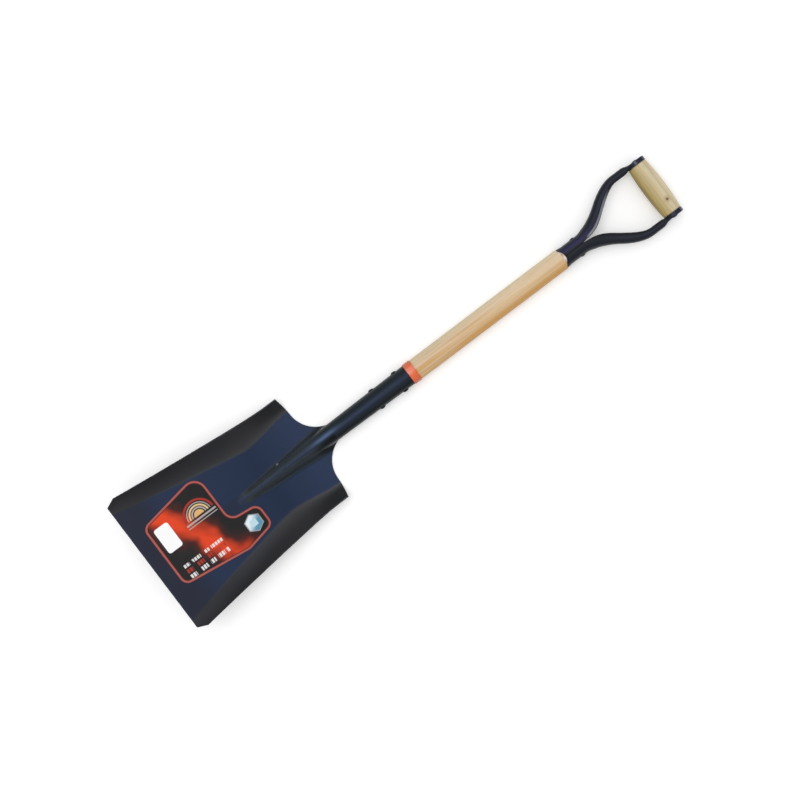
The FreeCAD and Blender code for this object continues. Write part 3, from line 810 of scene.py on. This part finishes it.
class SteelSettings(bpy.types.PropertyGroup):
    blade_face: FloatVectorProperty(name="Blade floor", description="Paint on the blade's floor", subtype="COLOR",
                                    size=3, min=0, max=1, default=(0.0115, 0.0205, 0.049))
    # Greyer colour where the sheet leans: a painted reflection and shade
    blade_flank: FloatVectorProperty(name="Blade flanks", description="Paint where the sheet leans",
                                     subtype="COLOR", size=3, min=0, max=1, default=(0.032, 0.043, 0.052))
    yoke_face: FloatVectorProperty(name="Yoke", description="Paint on the yoke", subtype="COLOR", size=3, min=0,
                                   max=1, default=(0.010, 0.0125, 0.021))
    # Colour where the yoke's section turns up and down: a painted reflection and shade, mixed evenly into rivets and
    # pin
    yoke_flank: FloatVectorProperty(name="Yoke flanks", description="Paint on the yoke's sides", subtype="COLOR",
                                    size=3, min=0, max=1, default=(0.013, 0.016, 0.019))
    wave: FloatProperty(name="Wave", description="Depth of the slow waves in the blade, in millimetres",
                        default=0.3, min=0, max=1)
    gloss: FloatProperty(name="Roughness", description="Roughness of the satin paint", subtype="FACTOR",
                         default=0.34, min=0, max=1)


class WoodSettings(bpy.types.PropertyGroup):
    shaft_pale: FloatVectorProperty(name="Shaft pale", description="Pale wood of the shaft", subtype="COLOR",
                                    size=3, min=0, max=1, default=(0.68, 0.52, 0.36))
    shaft_cream: FloatVectorProperty(name="Shaft cream", description="Cream side of the shaft", subtype="COLOR",
                                     size=3, min=0, max=1, default=(0.64, 0.56, 0.38))
    shaft_tan: FloatVectorProperty(name="Shaft tan", description="Tan streak of the shaft", subtype="COLOR",
                                   size=3, min=0, max=1, default=(0.58, 0.34, 0.12))
    grip_pale: FloatVectorProperty(name="Grip pale", description="Pale wood of the grip", subtype="COLOR", size=3,
                                   min=0, max=1, default=(0.61, 0.51, 0.34))
    grip_cream: FloatVectorProperty(name="Grip cream", description="Cream side of the grip", subtype="COLOR",
                                    size=3, min=0, max=1, default=(0.65, 0.565, 0.375))
    grip_tan: FloatVectorProperty(name="Grip tan", description="Tan wood of the grip", subtype="COLOR", size=3,
                                  min=0, max=1, default=(0.51, 0.385, 0.145))


class TrimSettings(bpy.types.PropertyGroup):
    ring: FloatVectorProperty(name="Ring", description="Plastic of the ring", subtype="COLOR", size=3, min=0,
                              max=1, default=(0.68, 0.126, 0.036))
    border: FloatVectorProperty(name="Label border", description="Printed border of the label", subtype="COLOR",
                                size=3, min=0, max=1, default=(0.38, 0.095, 0.080))
    ground: FloatVectorProperty(name="Label ground", description="Dark ground of the label", subtype="COLOR",
                                size=3, min=0, max=1, default=(0.012, 0.011, 0.012))
    glow: FloatVectorProperty(name="Label glow", description="Warm glow printed on the label", subtype="COLOR",
                              size=3, min=0, max=1, default=(0.72, 0.055, 0.012))


class StudioSettings(bpy.types.PropertyGroup):
    floor: FloatVectorProperty(name="Floor", description="Colour of the floor", subtype="COLOR", size=3, min=0,
                               max=1, default=(0.9, 0.9, 0.9))
    key_power: FloatProperty(name="Key light", description="Power of the wide soft light, in watts", unit="POWER",
                             default=15.0, min=0)
    strip_power: FloatProperty(name="Strip light", description="Power of the light that the neck mirrors, in watts",
                               unit="POWER", default=6.0, min=0)
    sky: FloatProperty(name="Sky", description="Strength of the even light all round", default=0.8, min=0)
    lens: FloatProperty(name="Lens", description="Focal length of the camera, in millimetres", unit="CAMERA",
                        default=48.96, min=10, max=200)


class ShovelOperator:
    """What the shovel's operators share."""

    bl_options = {"REGISTER"}


class SHOVEL_OT_blade(ShovelOperator, bpy.types.Operator):
    """Press the blade with its ridge and socket from one sheet"""

    bl_idname = "shovel.blade"
    bl_label = "Blade"

    def execute(self, context):
        steel = context.scene.shovel_steel
        spread = (1 - (1 - np.linspace(0.0, 1.0, BLADE_ROWS + 1)) ** ROW_CROWDING)[:, None]
        shares = np.linspace(-1.0, 1.0, 2 * RIDGE_COLUMNS + 1)[None, :]
        columns = np.arange(1.0, FLOOR_COLUMNS + WALL_COLUMNS + 1)
        start, end = wing_limits(columns)
        s_ridge = mix(-BLADE_LENGTH, NECK_S, spread) + 0 * shares
        s_wing = mix(start, end, spread)
        ridge = crest_section(ridge_form, s_ridge, shares)
        wing = wing_section(s_wing, columns)
        s = over_width(s_wing, s_ridge)
        y = over_width(wing[0], ridge[0], -1)
        n = over_width(wing[1], ridge[1]) + unevenness(s, y, steel.wave)
        s_socket = mix(NECK_S, SOCKET_LENGTH, np.linspace(0.0, 1.0, SOCKET_ROWS + 1)[1:, None]) + 0 * shares
        socket = crest_section(socket_form, s_socket, shares)
        on_socket = on_sheet(s_socket, *socket[:2])
        points = np.concatenate((on_sheet(s, y, n).reshape(-1, 3), on_socket.reshape(-1, 3)))
        wide, narrow = s.shape[1], shares.shape[1]
        last_row = BLADE_ROWS * wide + columns.size + np.arange(narrow)
        numbers = np.concatenate((last_row, s.size + np.arange(s_socket.size)))
        socket_faces = numbers[grid_faces(SOCKET_ROWS + 1, narrow)]
        faces = np.concatenate((grid_faces(BLADE_ROWS + 1, wide), socket_faces))[:, ::-1]
        paint = enamel("Blade enamel", steel.blade_face, steel.blade_flank, 0.7, steel.gloss, BLADE_TINTS)
        add_chip(paint)
        marks = blade_marks(s, y, wing, ridge, s_socket, socket, shares)
        piece = make_mesh_piece("blade_steel", points, faces, ["blade"], paint, marks,
                                weld=False, sharp=SHEET_SHARP_ANGLE)
        give_thickness(piece, SHEET, BLADE_EDGE_ROUND)
        return {"FINISHED"}


class SHOVEL_OT_rivets(ShovelOperator, bpy.types.Operator):
    """Set the three rivets, their heads seated on the round steel"""

    bl_idname = "shovel.rivets"
    bl_label = "Rivets"

    def execute(self, context):
        steel = context.scene.shovel_steel
        paint = enamel("Rivet enamel", steel.yoke_face, steel.yoke_flank, 0.6, 0.3)
        arc = np.linspace(0.0, math.pi / 2, 9)
        for name, node, middle, seat, (wide, high) in (
            ("rivet_front", "socket_rivet_lower", LOWER_RIVET_S, socket_form(LOWER_RIVET_S)[1], SOCKET_HEAD),
            ("rivet_rear", "socket_rivet_upper", UPPER_RIVET_S, socket_form(UPPER_RIVET_S)[1], SOCKET_HEAD),
            ("rivet_yoke", "yoke_rivet", YOKE_RIVET_S, FERRULE_RADIUS, YOKE_HEAD),
        ):
            dome = np.stack((seat + high * np.cos(arc), wide * np.sin(arc), arc * 0), -1)
            skirt = [(seat + rise, wide + change, follow) for rise, change, follow in HEAD_SKIRT]
            stub = [(seat - HEAD_SINK, RIVET_RADIUS, 1.0), (seat - SHANK_STUB, RIVET_RADIUS, 0.0)]
            half = np.concatenate((dome, skirt, stub))
            profile = np.concatenate((half, half[::-1] * (-1.0, 1.0, -1.0)))
            rings = turned_across(profile, middle, RIVET_SIDES, saddle=float(seat))
            make_turned_piece(name, rings, [node], paint)
        return {"FINISHED"}


class SHOVEL_OT_shaft(ShovelOperator, bpy.types.Operator):
    """Turn the wooden shaft, stepped down at both ends"""

    bl_idname = "shovel.shaft"
    bl_label = "Shaft"

    def execute(self, context):
        woods = context.scene.shovel_wood
        tip = NECK_S - TENON_REACH
        mouth = SOCKET_RADIUS - SHEET - TENON_PLAY
        step = RING_END_S + STEP_GAP
        tenon_end = FERRULE_S + FERRULE_GRIP_LENGTH
        profile = [(tip, 0.0), (tip, TENON_TIP_RADIUS - TENON_CHAMFER), (tip + TENON_CHAMFER, TENON_TIP_RADIUS),
                   (NECK_S, NECK_RADIUS - SHEET - TENON_PLAY), (SOCKET_LENGTH, mouth), (step, mouth),
                   (step, SHAFT_RADIUS - STEP_ROUND)]
        bare = np.linspace(RING_END_S + STEP_ROUND_LENGTH, FERRULE_S - SHOULDER_ROUND_LENGTH, 40)
        profile += [(s, SHAFT_RADIUS) for s in bare]
        profile += [(FERRULE_S + past, SHAFT_RADIUS + change) for past, change in SHOULDER_ROUND]
        profile += [(FERRULE_S + SHOULDER_ROUND[-1][0], YOKE_TENON_RADIUS),
                    (tenon_end - TENON_CHAMFER, YOKE_TENON_RADIUS),
                    (tenon_end, YOKE_TENON_RADIUS - TENON_CHAMFER), (tenon_end, 0.0)]
        colours = {"Pale": woods.shaft_pale, "Tan": woods.shaft_tan, "Brown": (0.42, 0.25, 0.1),
                   "Cream": woods.shaft_cream}
        finish = wood("Shaft wood", colours, 0.0, 0.0, 30.0, 0.36)
        add_end_marks(finish)
        rings = turned_along(profile, SHAFT_WOBBLE_SHARE)
        make_turned_piece("shaft_turned", rings, ["shaft"], finish)
        return {"FINISHED"}


class SHOVEL_OT_ring(ShovelOperator, bpy.types.Operator):
    """Mould the plastic ring at the shaft's step"""

    bl_idname = "shovel.ring"
    bl_label = "Ring"

    def execute(self, context):
        inner = RING_RADIUS - RING_WALL
        start, end = SOCKET_LENGTH + RING_GAP, RING_END_S
        profile = [(start, inner)]
        profile += [(start + run, RING_RADIUS + change) for run, change in RING_ROUND]
        profile += [(end - run, RING_RADIUS + change) for run, change in RING_ROUND[::-1]]
        profile += [(end, inner), (start, inner)]
        finish = Finish("Ring plastic")
        cloud = finish.step(finish.noise(finish.vector, 60.0, 3.0), 0.35, 0.7)
        plastic = context.scene.shovel_trim.ring
        finish.lay(Base_Color=finish.blend(finish.times(cloud, 0.3), plastic, (0.82, 0.2, 0.09)))
        # Painted light and shade across the ring: deeper orange on the -Y side, a pink highlight off the middle,
        # darker sides
        across = finish.axes(finish.vector)["Y"]
        finish.over(finish.step(across, 0.0, -0.004, 0.0, 0.45), (0.76, 0.115, 0.022))
        pink_highlight = finish.step(finish.size(finish.less(across, 0.005)), 0.006, 0.002, 0.0, 0.5)
        finish.over(pink_highlight, (0.86, 0.27, 0.22))
        finish.over(finish.step(finish.size(across), 0.011, 0.016), (0.74, 0.80, 0.95), "MULTIPLY")
        scuff = finish.step(finish.streaks(finish.vector, (300.0, 60.0, 60.0), 4.0, 0.7), 0.6, 0.75)
        finish.over(finish.times(scuff, 0.15), (0.95, 0.5, 0.35))
        finish.lay(Roughness=finish.sum("MULTIPLY_ADD", scuff, 0.2, 0.26))
        finish.bump(finish.noise(finish.vector, 500.0), 0.00005, 0.4)
        make_turned_piece("ring_moulded", turned_along(profile), ["socket_ring"], finish)
        return {"FINISHED"}


def arm_place(x):
    """Middle of an arm's channel, x past the crotch: a smooth step with a start slope, and its slope angle."""
    t = np.clip(x / ARM_SWING_LENGTH, 0.0, 1.0)
    share = ARM_START_SLOPE * t * (1 - t) ** 2 + smooth(t)
    slope = np.where(x > 0, ARM_START_SLOPE * (1 - t) * (1 - 3 * t) + 6 * t * (1 - t), 0.0)
    turned = np.arctan(slope * ARM_HALF_SPREAD / ARM_SWING_LENGTH) * smooth(t / ARM_TURN_IN_SHARE)
    return ARM_HALF_SPREAD * share, turned


def arm_section(x):
    """Half width, half depth, covered angle and round share of the channel: smooth steps from ferrule to tip.

    Ahead of the crotch it is the ferrule's half shell, with a straight flare to its mouth."""
    tip = GRIP_REACH - CUP_RADIUS
    t = np.clip(x / tip, 0.0, 1.0)
    opened = smooth(t / ARM_FULL_SHARE)
    slimmed = grow(t, ARM_FULL_SHARE, ARM_SLIM_SHARE)
    tipped = grow(x / tip, ARM_TIP_SHARE, 1 + CUP_OVERLAP / tip)
    flare_run = FERRULE_FLARE_LENGTH - FERRULE_LIP_LENGTH
    flare = np.clip((FERRULE_FLARE_LENGTH - FERRULE_LENGTH - x) / flare_run, 0.0, 1.0)
    root = mix(FERRULE_RADIUS, FERRULE_MOUTH_RADIUS, flare)
    width = mix(mix(root, ARM_HALF_WIDTH, opened), ARM_SLIM_HALF_WIDTH, slimmed)
    width = mix(width, ARM_TIP_HALF_WIDTH, tipped)
    depth = mix(mix(root, ARM_HALF_DEPTH, opened), ARM_TIP_HALF_DEPTH, smooth(t))
    return width, depth, mix(math.pi / 2, ARM_CHANNEL_ANGLE, opened), 1 - opened


def make_cup(name, side, middle_glint, end_glint, paint):
    """One cup of the yoke, turned about the grip's line: dished end, round, wall, rim and inside.

    Its painted glints lie high on the wall: a bell curve near the middle and a smooth rise towards the far side."""
    base, top = GRIP_HALF_LENGTH + CUP_GAP, GRIP_HALF_LENGTH + CUP_HEIGHT
    arc = np.linspace(0.0, math.pi / 2, 7)
    dish = [(top + rise, radius) for rise, radius in CUP_DISH]
    edge = np.stack((top - CUP_ROUND * (1 - np.cos(arc)), CUP_RADIUS - CUP_ROUND * (1 - np.sin(arc))), -1)
    rim = [(base + rise, CUP_RADIUS + change) for rise, change in CUP_RIM]
    inside = [(top - YOKE_SHEET, CUP_RADIUS - YOKE_SHEET), (top - YOKE_SHEET - CUP_INSIDE_DISH, 0.0)]
    rings = turned_across(np.concatenate((dish, edge, rim, inside)) * (side, 1.0), GRIP_S)
    level = 0 * rings[..., 0]
    gap = level + FAR_FROM_RIM
    rim_start = len(dish) + len(edge)
    gap[rim_start:rim_start + len(rim)] = 0.3
    # Painted highlights high on the cup's wall
    ahead = rings[..., 0] - GRIP_S
    glint = middle_glint * np.exp(-((ahead + 4.1) / 1.5) ** 2) + end_glint * grow(ahead, 7, 11)
    glint = glint * grow(rings[..., 2] - AXIS_HEIGHT, 4, 10)
    glint[:len(dish)] = 0.0
    marks = {"lean": level + 0.15, "rim": gap * MM, "lip": glint, "body": level + 1}
    make_turned_piece(name, rings, [], paint, marks)


class SHOVEL_OT_yoke(ShovelOperator, bpy.types.Operator):
    """Press the yoke: two half shells that form the ferrule and part into channel arms with cups"""

    bl_idname = "shovel.yoke"
    bl_label = "Yoke"

    def execute(self, context):
        steel = context.scene.shovel_steel
        along = np.linspace(0.0, 1.0, YOKE_ROWS + 1)[:, None]
        shares = np.linspace(-1.0, 1.0, YOKE_COLUMNS + 1)[None, :]
        tip_high = ARM_TIP_HALF_DEPTH * np.sin(shares * ARM_CHANNEL_ANGLE)
        reach = GRIP_REACH - np.sqrt((CUP_RADIUS - CUP_OVERLAP) ** 2 - tip_high ** 2)
        mouth_y = FERRULE_MOUTH_RADIUS * np.cos(shares * math.pi / 2)
        sunk = SCALLOP_DEPTH - SCALLOP_RADIUS + np.sqrt(SCALLOP_RADIUS ** 2 - mouth_y ** 2)
        x = mix(np.maximum(0.0, sunk) - FERRULE_LENGTH, reach, along)
        middle, slope = arm_place(x)
        width, depth, covered, round_share = arm_section(x)
        angle = covered * shares
        out = width * np.cos(angle)
        depth = depth - SEAM_SINK * grow(np.abs(shares), SEAM_SINK_START_SHARE, 1.0) * round_share
        half = np.stack((CROTCH_S + x - out * np.sin(slope), middle + out * np.cos(slope),
                         AXIS_HEIGHT + depth * np.sin(angle)), -1).reshape(-1, 3)
        faces = grid_faces(YOKE_ROWS + 1, YOKE_COLUMNS + 1)
        points = np.concatenate((half, half * (1.0, -1.0, 1.0)))
        faces = np.concatenate((faces, faces[:, ::-1] + len(half)))
        gap = (1 - np.abs(shares)) * covered * depth
        # A painted highlight band at a set angle round the channel and ferrule
        off_band = (np.degrees(angle) - mix(*BAND_ANGLE, round_share)) / mix(*BAND_SPREAD, round_share)
        band = np.exp(-off_band ** 2)
        upper = shares > 0
        # A painted glint along the upper shell's inner lip
        lip = smooth((mix(*LIP_END, round_share) - gap) / 2.5) * smooth(gap - mix(*LIP_START, round_share))
        seam = grow(gap, 1.6, 0.6) * grow(x, 4, 0)
        marks = {
            # Lean grows with the angle round the section, so top and bottom take the Flank colour: painted reflection
            "lean": (np.abs(angle) * 0.2 + 0.1, 1),
            "rim": (np.where(x > 2, gap, FAR_FROM_RIM) * MM, 1),
            "band": (band * round_share, 0.1),
            # On the arms a painted highlight band along the channel
            "body": (band * (1 - round_share), 1),
            "lip": (lip * grow(x, *LIP_GROWS) * grow(x, *LIP_ENDS) * upper, 0),
            "seam": (seam * upper, 1),
        }
        marks = {name: np.stack((values, values * other)) for name, (values, other) in marks.items()}
        paint = enamel("Yoke enamel", steel.yoke_face, steel.yoke_flank, 0.6, steel.gloss - 0.02, YOKE_TINTS)
        piece = make_mesh_piece("yoke_arms", points, faces, ["yoke"], paint, marks,
                                weld=False, sharp=SHEET_SHARP_ANGLE)
        give_thickness(piece, YOKE_SHEET, YOKE_EDGE_ROUND)
        make_cup("cup_left", 1.0, 0.25, 0.15, paint)
        make_cup("cup_right", -1.0, 0.0, 0.3, paint)
        return {"FINISHED"}


class SHOVEL_OT_grip(ShovelOperator, bpy.types.Operator):
    """Turn the wooden grip and set the long pin that holds it"""

    bl_idname = "shovel.grip"
    bl_label = "Grip"

    def execute(self, context):
        woods = context.scene.shovel_wood
        steel = context.scene.shovel_steel
        t = np.linspace(-1.0, 1.0, 61)
        belly = np.stack((t * (GRIP_HALF_LENGTH - GRIP_END_LENGTH), mix(GRIP_RADIUS, GRIP_END_RADIUS, t * t)), -1)
        end = [(GRIP_HALF_LENGTH + past, GRIP_END_RADIUS + change) for past, change in GRIP_END_ROUND]
        tenon_end = GRIP_HALF_LENGTH + GRIP_TENON_LENGTH
        end += [(end[-1][0], GRIP_TENON_RADIUS), (tenon_end, GRIP_TENON_RADIUS), (tenon_end, 0.0)]
        profile = np.concatenate((np.array(end[::-1]) * (-1.0, 1.0), belly, end))
        grip_x = (GRIP_S - ORIGIN_S) * MM
        colours = {"Pale": woods.grip_pale, "Tan": woods.grip_tan, "Brown": (0.38, 0.27, 0.11),
                   "Cream": woods.grip_cream}
        # Tan on the D side and cream on the far side: painted shade and painted light
        finish = wood("Grip wood", colours, math.pi / 2, grip_x, 55.0, 0.04)
        paint_grip_light_and_shade(finish, grip_x)
        add_knot(finish)
        make_turned_piece("grip_turned", turned_across(profile, GRIP_S), ["grip"], finish)
        top = GRIP_HALF_LENGTH + CUP_HEIGHT - PIN_SEAT_SINK
        arc = np.linspace(0.0, math.pi / 2, 8)
        dome = np.stack((top + (PIN_HEAD_HEIGHT + PIN_SEAT_SINK) * np.cos(arc), PIN_HEAD_RADIUS * np.sin(arc)), -1)
        half = np.concatenate((dome, [(top - 0.2, PIN_HEAD_RADIUS - 0.1), (top - 0.2, RIVET_RADIUS)]))
        profile = np.concatenate((half, half[::-1] * (-1.0, 1.0)))
        paint = enamel("Pin enamel", steel.yoke_face, steel.yoke_flank, 0.6, 0.3)
        rings = turned_across(profile, GRIP_S, PIN_SIDES)
        make_turned_piece("pin_riveted", rings, ["grip_pin"], paint)
        return {"FINISHED"}


def label_outline(steps=14):
    """The label's edge: each corner gives an arc tangent to both sides, walked from one side to the next."""
    corners = np.array([corner[:2] for corner in LABEL_CORNERS])
    line = []
    for here, before, after, (_, _, radius) in zip(corners, np.roll(corners, 1, 0), np.roll(corners, -1, 0),
                                                   LABEL_CORNERS):
        before = (before - here) / np.linalg.norm(before - here)
        after = (after - here) / np.linalg.norm(after - here)
        half = math.acos(float(before @ after)) / 2
        centre = here + (before + after) / np.linalg.norm(before + after) * radius / math.sin(half)
        first = here + before * radius / math.tan(half) - centre
        last = here + after * radius / math.tan(half) - centre
        turn = math.atan2(first[0] * last[1] - first[1] * last[0], float(first @ last))
        angles = np.linspace(0.0, turn, steps)[:, None]
        line.append(centre + first * np.cos(angles) + (first[::-1] * (-1.0, 1.0)) * np.sin(angles))
    line = np.concatenate(line)
    fine = []
    for a, b in zip(line, np.roll(line, -1, 0)):
        parts = max(1, int(np.linalg.norm(b - a) / LABEL_STEP))
        fine.append(a + (b - a) * np.linspace(0.0, 1.0, parts, endpoint=False)[:, None])
    return np.concatenate(fine)


def printed_film(trim):
    """Label print: border, dark ground, warm glow, a blank pale panel, rows of ticks, a half sun and a hexagon.

    Print coordinates are the film's own map: along from the mouth and across, in metres. Shapes are drawn by
    signed distance: beyond a box less its rounding, from an arc's radius, or of the nearest of a hexagon's sides."""
    finish = Finish("Label print")
    map_place = finish.add("UVMap", uv_map="print").outputs[0]
    along, across, _ = finish.axes(map_place)

    def off_middle(a, b):
        return finish.less(along, a), finish.less(across, b)

    def box(a, b, half_a, half_b, corner):
        beyond = [finish.sum("MAXIMUM", finish.less(finish.size(value), half - corner), 0.0)
                  for value, half in zip(off_middle(a, b), (half_a, half_b))]
        away = finish.length(finish.add("CombineXYZ", {0: beyond[0], 1: beyond[1]}).outputs[0])
        return finish.step(away, corner + PRINT_SOFTNESS, corner - PRINT_SOFTNESS)

    patch = finish.noise(map_place, 22.0)
    glow_line = finish.sum("MULTIPLY_ADD", along, 0.86, finish.times(across, 0.5))
    off_line = finish.size(finish.less(glow_line, 0.07))
    off_line = finish.sum("MULTIPLY_ADD", finish.less(patch, 0.5), 0.05, off_line)
    finish.lay(Base_Color=finish.blend(finish.step(off_line, 0.04, 0.006), trim.ground, (0.10, 0.012, 0.006)))
    finish.over(finish.step(off_line, 0.024, 0.0), trim.glow)

    beat = finish.sum("PINGPONG", finish.plus(along, 0.0008), 0.0024)
    broken = finish.step(finish.streaks(map_place, (90.0, 5.0, 1.0), 0.0), 0.4, 0.42)
    ticks = finish.times(finish.step(beat, 0.0004, 0.0008), broken)
    for middle, half, ink in TICK_ROWS:
        row = box(TICK_ROW_MIDDLE, middle, TICK_ROW_HALF_LENGTH, half, 0.0002)
        finish.over(finish.times(row, ticks), ink)

    a, b = off_middle(*SUN_MIDDLE)
    away = finish.length(finish.add("CombineXYZ", {0: a, 1: b}).outputs[0])
    upper = finish.step(b, -0.0006, 0.0006)
    for radius, half, ink in SUN_RINGS:
        off_ring = finish.size(finish.less(away, radius))
        ring = finish.step(off_ring, half + PRINT_SOFTNESS, half - PRINT_SOFTNESS)
        finish.over(finish.times(ring, upper), ink)
    for line in LINE_BOXES:
        finish.over(box(*line), GREY_INK)
    finish.over(box(*PANEL_BOX), (0.92, 0.92, 0.92))

    a, b = (finish.size(value) for value in off_middle(*HEXAGON_MIDDLE))
    slanted = finish.sum("MULTIPLY_ADD", a, 0.5, finish.times(b, 0.866))
    hexagon = finish.sum("MAXIMUM", a, slanted)
    shine = finish.step(finish.less(along, across), 0.19, 0.21)
    silver = finish.blend(shine, (0.72, 0.82, 0.86), (0.10, 0.28, 0.42))
    finish.over(finish.step(hexagon, 0.0138, 0.0132), (0.30, 0.32, 0.33))
    finish.over(finish.step(hexagon, 0.0122, 0.0116), silver)
    finish.over(box(*HEXAGON_BOX), (0.50, 0.68, 0.76))

    gap = finish.mark("edge_gap")
    finish.over(finish.step(gap, 0.0056, 0.0038), (0.06, 0.008, 0.006))
    line = finish.sum("MINIMUM", finish.step(gap, 0.0039, 0.0034), finish.step(gap, 0.0003, 0.0008))
    finish.over(line, trim.border)
    handled = finish.noise(finish.vector, 45.0, 3.0)
    finish.lay(Roughness=finish.step(handled, 0.3, 0.7, 0.28, 0.4), Specular_IOR_Level=0.12)
    finish.bump(handled, 0.0001, 0.3)
    return finish


class SHOVEL_OT_label(ShovelOperator, bpy.types.Operator):
    """Cut the label's film and lay it on the blade's floor"""

    bl_idname = "shovel.label"
    bl_label = "Label"

    def execute(self, context):
        edge = label_outline()
        middle = np.array(LABEL_MIDDLE)
        shares = np.concatenate(([0.0], np.linspace(0.06, 0.9, 18), np.linspace(0.915, 1.0, 10)))[:, None, None]
        top = (middle + (edge - middle) * shares).reshape(-1, 2)
        side = np.roll(edge, -1, 0) - edge
        t = np.clip(((top[:, None] - edge) * side).sum(-1) / (side ** 2).sum(-1), 0.0, 1.0)
        gap = np.linalg.norm(top[:, None] - (edge + side * t[..., None]), axis=-1).min(1)
        s = top[:, 0] - BLADE_LENGTH
        base = unevenness(s, top[:, 1], context.scene.shovel_steel.wave) + LABEL_LIFT
        upper = on_sheet(s, top[:, 1], base + LABEL_FILM)
        ring = len(edge)
        lower_ring = on_sheet(s[-ring:], top[-ring:, 1], base[-ring:])
        lower_cap = on_sheet(np.full(ring, middle[0] - BLADE_LENGTH), np.full(ring, middle[1]),
                             np.full(ring, base[0]))
        points = np.concatenate((upper, lower_ring, lower_cap))
        skirt = grid_faces(2, ring, wrap=True) + len(upper) - ring
        faces = np.concatenate((grid_faces(len(shares), ring, wrap=True), skirt, skirt + ring))
        gaps = np.concatenate((gap, np.zeros(ring), np.full(ring, 9.0))) * MM
        mapped = np.concatenate((top, top[-ring:], np.repeat(middle[None], ring, 0))) * MM
        marks = {"edge_gap": gaps, "map_a": mapped[:, 0], "map_b": mapped[:, 1]}
        finish = printed_film(context.scene.shovel_trim)
        piece = make_mesh_piece("label_film", points, faces, ["label"], finish, marks, sharp=50.0)
        mesh = piece.data
        mesh.uv_layers.new(name="print")
        corner_vertex = np.empty(len(mesh.loops), int)
        mesh.loops.foreach_get("vertex_index", corner_vertex)
        found = []
        for mark in ("map_a", "map_b"):
            values = np.empty(len(mesh.vertices), np.float32)
            mesh.attributes[mark].data.foreach_get("value", values)
            found.append(values[corner_vertex])
            mesh.attributes.remove(mesh.attributes[mark])
        mesh.uv_layers["print"].data.foreach_set("uv", np.stack(found, -1).ravel())
        return {"FINISHED"}


class SHOVEL_OT_studio(ShovelOperator, bpy.types.Operator):
    """Set up the floor, the soft lights and the camera above the shovel"""

    bl_idname = "shovel.studio"
    bl_label = "Studio"

    def execute(self, context):
        studio = context.scene.shovel_studio
        place_in = context.scene.collection.objects.link
        mesh = bpy.data.meshes.new("floor")
        corners = [(x * FLOOR_HALF, y * FLOOR_HALF, 0) for x, y in ((-1, -1), (1, -1), (1, 1), (-1, 1))]
        mesh.from_pydata(corners, [], [(0, 1, 2, 3)])
        floor = bpy.data.objects.new("floor", mesh)
        floor.location.z = -FLOOR_DROP
        place_in(floor)
        finish = Finish("Studio floor")
        rays = finish.add("LightPath").outputs
        seen = finish.sum("MAXIMUM", rays["Is Camera Ray"], rays["Is Glossy Ray"])
        seen = finish.sum("MAXIMUM", seen, rays["Is Transmission Ray"])
        finish.lay(Base_Color=studio.floor, Roughness=0.9, Specular_IOR_Level=0.1, Emission_Color=(1.0, 1.0, 1.0),
                   Emission_Strength=finish.times(seen, 0.2))
        mesh.materials.append(finish.material)

        world = bpy.data.worlds.new("studio")
        context.scene.world = world
        world.use_nodes = True
        wires = Wiring(world.node_tree)
        back = world.node_tree.nodes["Background"].inputs
        height = wires.axes(wires.add("TexCoord").outputs["Generated"])["Z"]
        wires.feed(back["Color"], wires.blend(wires.step(height, 0.0, 0.9), (0.6, 0.6, 0.62), (1.0, 1.0, 1.0)))
        back["Strength"].default_value = studio.sky

        for name, power, place_at, wide, deep in LAMPS:
            lamp = bpy.data.lights.new(name, "AREA")
            lamp.shape = "RECTANGLE"
            lamp.size = wide
            lamp.size_y = deep
            lamp.energy = getattr(studio, power)
            light = bpy.data.objects.new(name, lamp)
            place_in(light)
            light.location = place_at
            light.rotation_euler = light.location.to_track_quat("Z", "Y").to_euler()

        lens = bpy.data.cameras.new("camera")
        lens.lens = studio.lens
        camera = bpy.data.objects.new("camera", lens)
        place_in(camera)
        camera.location = CAMERA_PLACE
        camera.rotation_euler = (0.0, 0.0, CAMERA_TURN)
        context.scene.camera = camera
        context.scene.view_settings.view_transform = "Standard"
        return {"FINISHED"}


class SHOVEL_PT_panel(bpy.types.Panel):
    """The shovel's pieces, finishes and studio"""

    bl_idname = "SHOVEL_PT_panel"
    bl_label = "Shovel"
    bl_space_type = "VIEW_3D"
    bl_region_type = "UI"
    bl_category = "Shovel"

    def draw(self, context):
        layout = self.layout
        for operator in OPERATORS:
            layout.operator(operator.bl_idname)
        for holder in SETTINGS:
            settings = getattr(context.scene, holder)
            for name in settings.__annotations__:
                layout.prop(settings, name)


SETTINGS = {
    "shovel_steel": SteelSettings,
    "shovel_wood": WoodSettings,
    "shovel_trim": TrimSettings,
    "shovel_studio": StudioSettings,
}
OPERATORS = (SHOVEL_OT_blade, SHOVEL_OT_rivets, SHOVEL_OT_shaft, SHOVEL_OT_ring, SHOVEL_OT_yoke, SHOVEL_OT_grip,
             SHOVEL_OT_label, SHOVEL_OT_studio)


def register():
    for kind in (*SETTINGS.values(), *OPERATORS, SHOVEL_PT_panel):
        bpy.utils.register_class(kind)
    for name, kind in SETTINGS.items():
        setattr(bpy.types.Scene, name, PointerProperty(type=kind))


def unregister():
    for name in SETTINGS:
        delattr(bpy.types.Scene, name)
    for kind in (SHOVEL_PT_panel, *OPERATORS[::-1], *SETTINGS.values()):
        bpy.utils.unregister_class(kind)


def main():
    register()
    bpy.ops.shovel.studio()
    bpy.ops.shovel.blade()
    bpy.ops.shovel.rivets()
    bpy.ops.shovel.shaft()
    bpy.ops.shovel.ring()
    bpy.ops.shovel.yoke()
    bpy.ops.shovel.grip()
    bpy.ops.shovel.label()


if __name__ == "__main__":
    main()
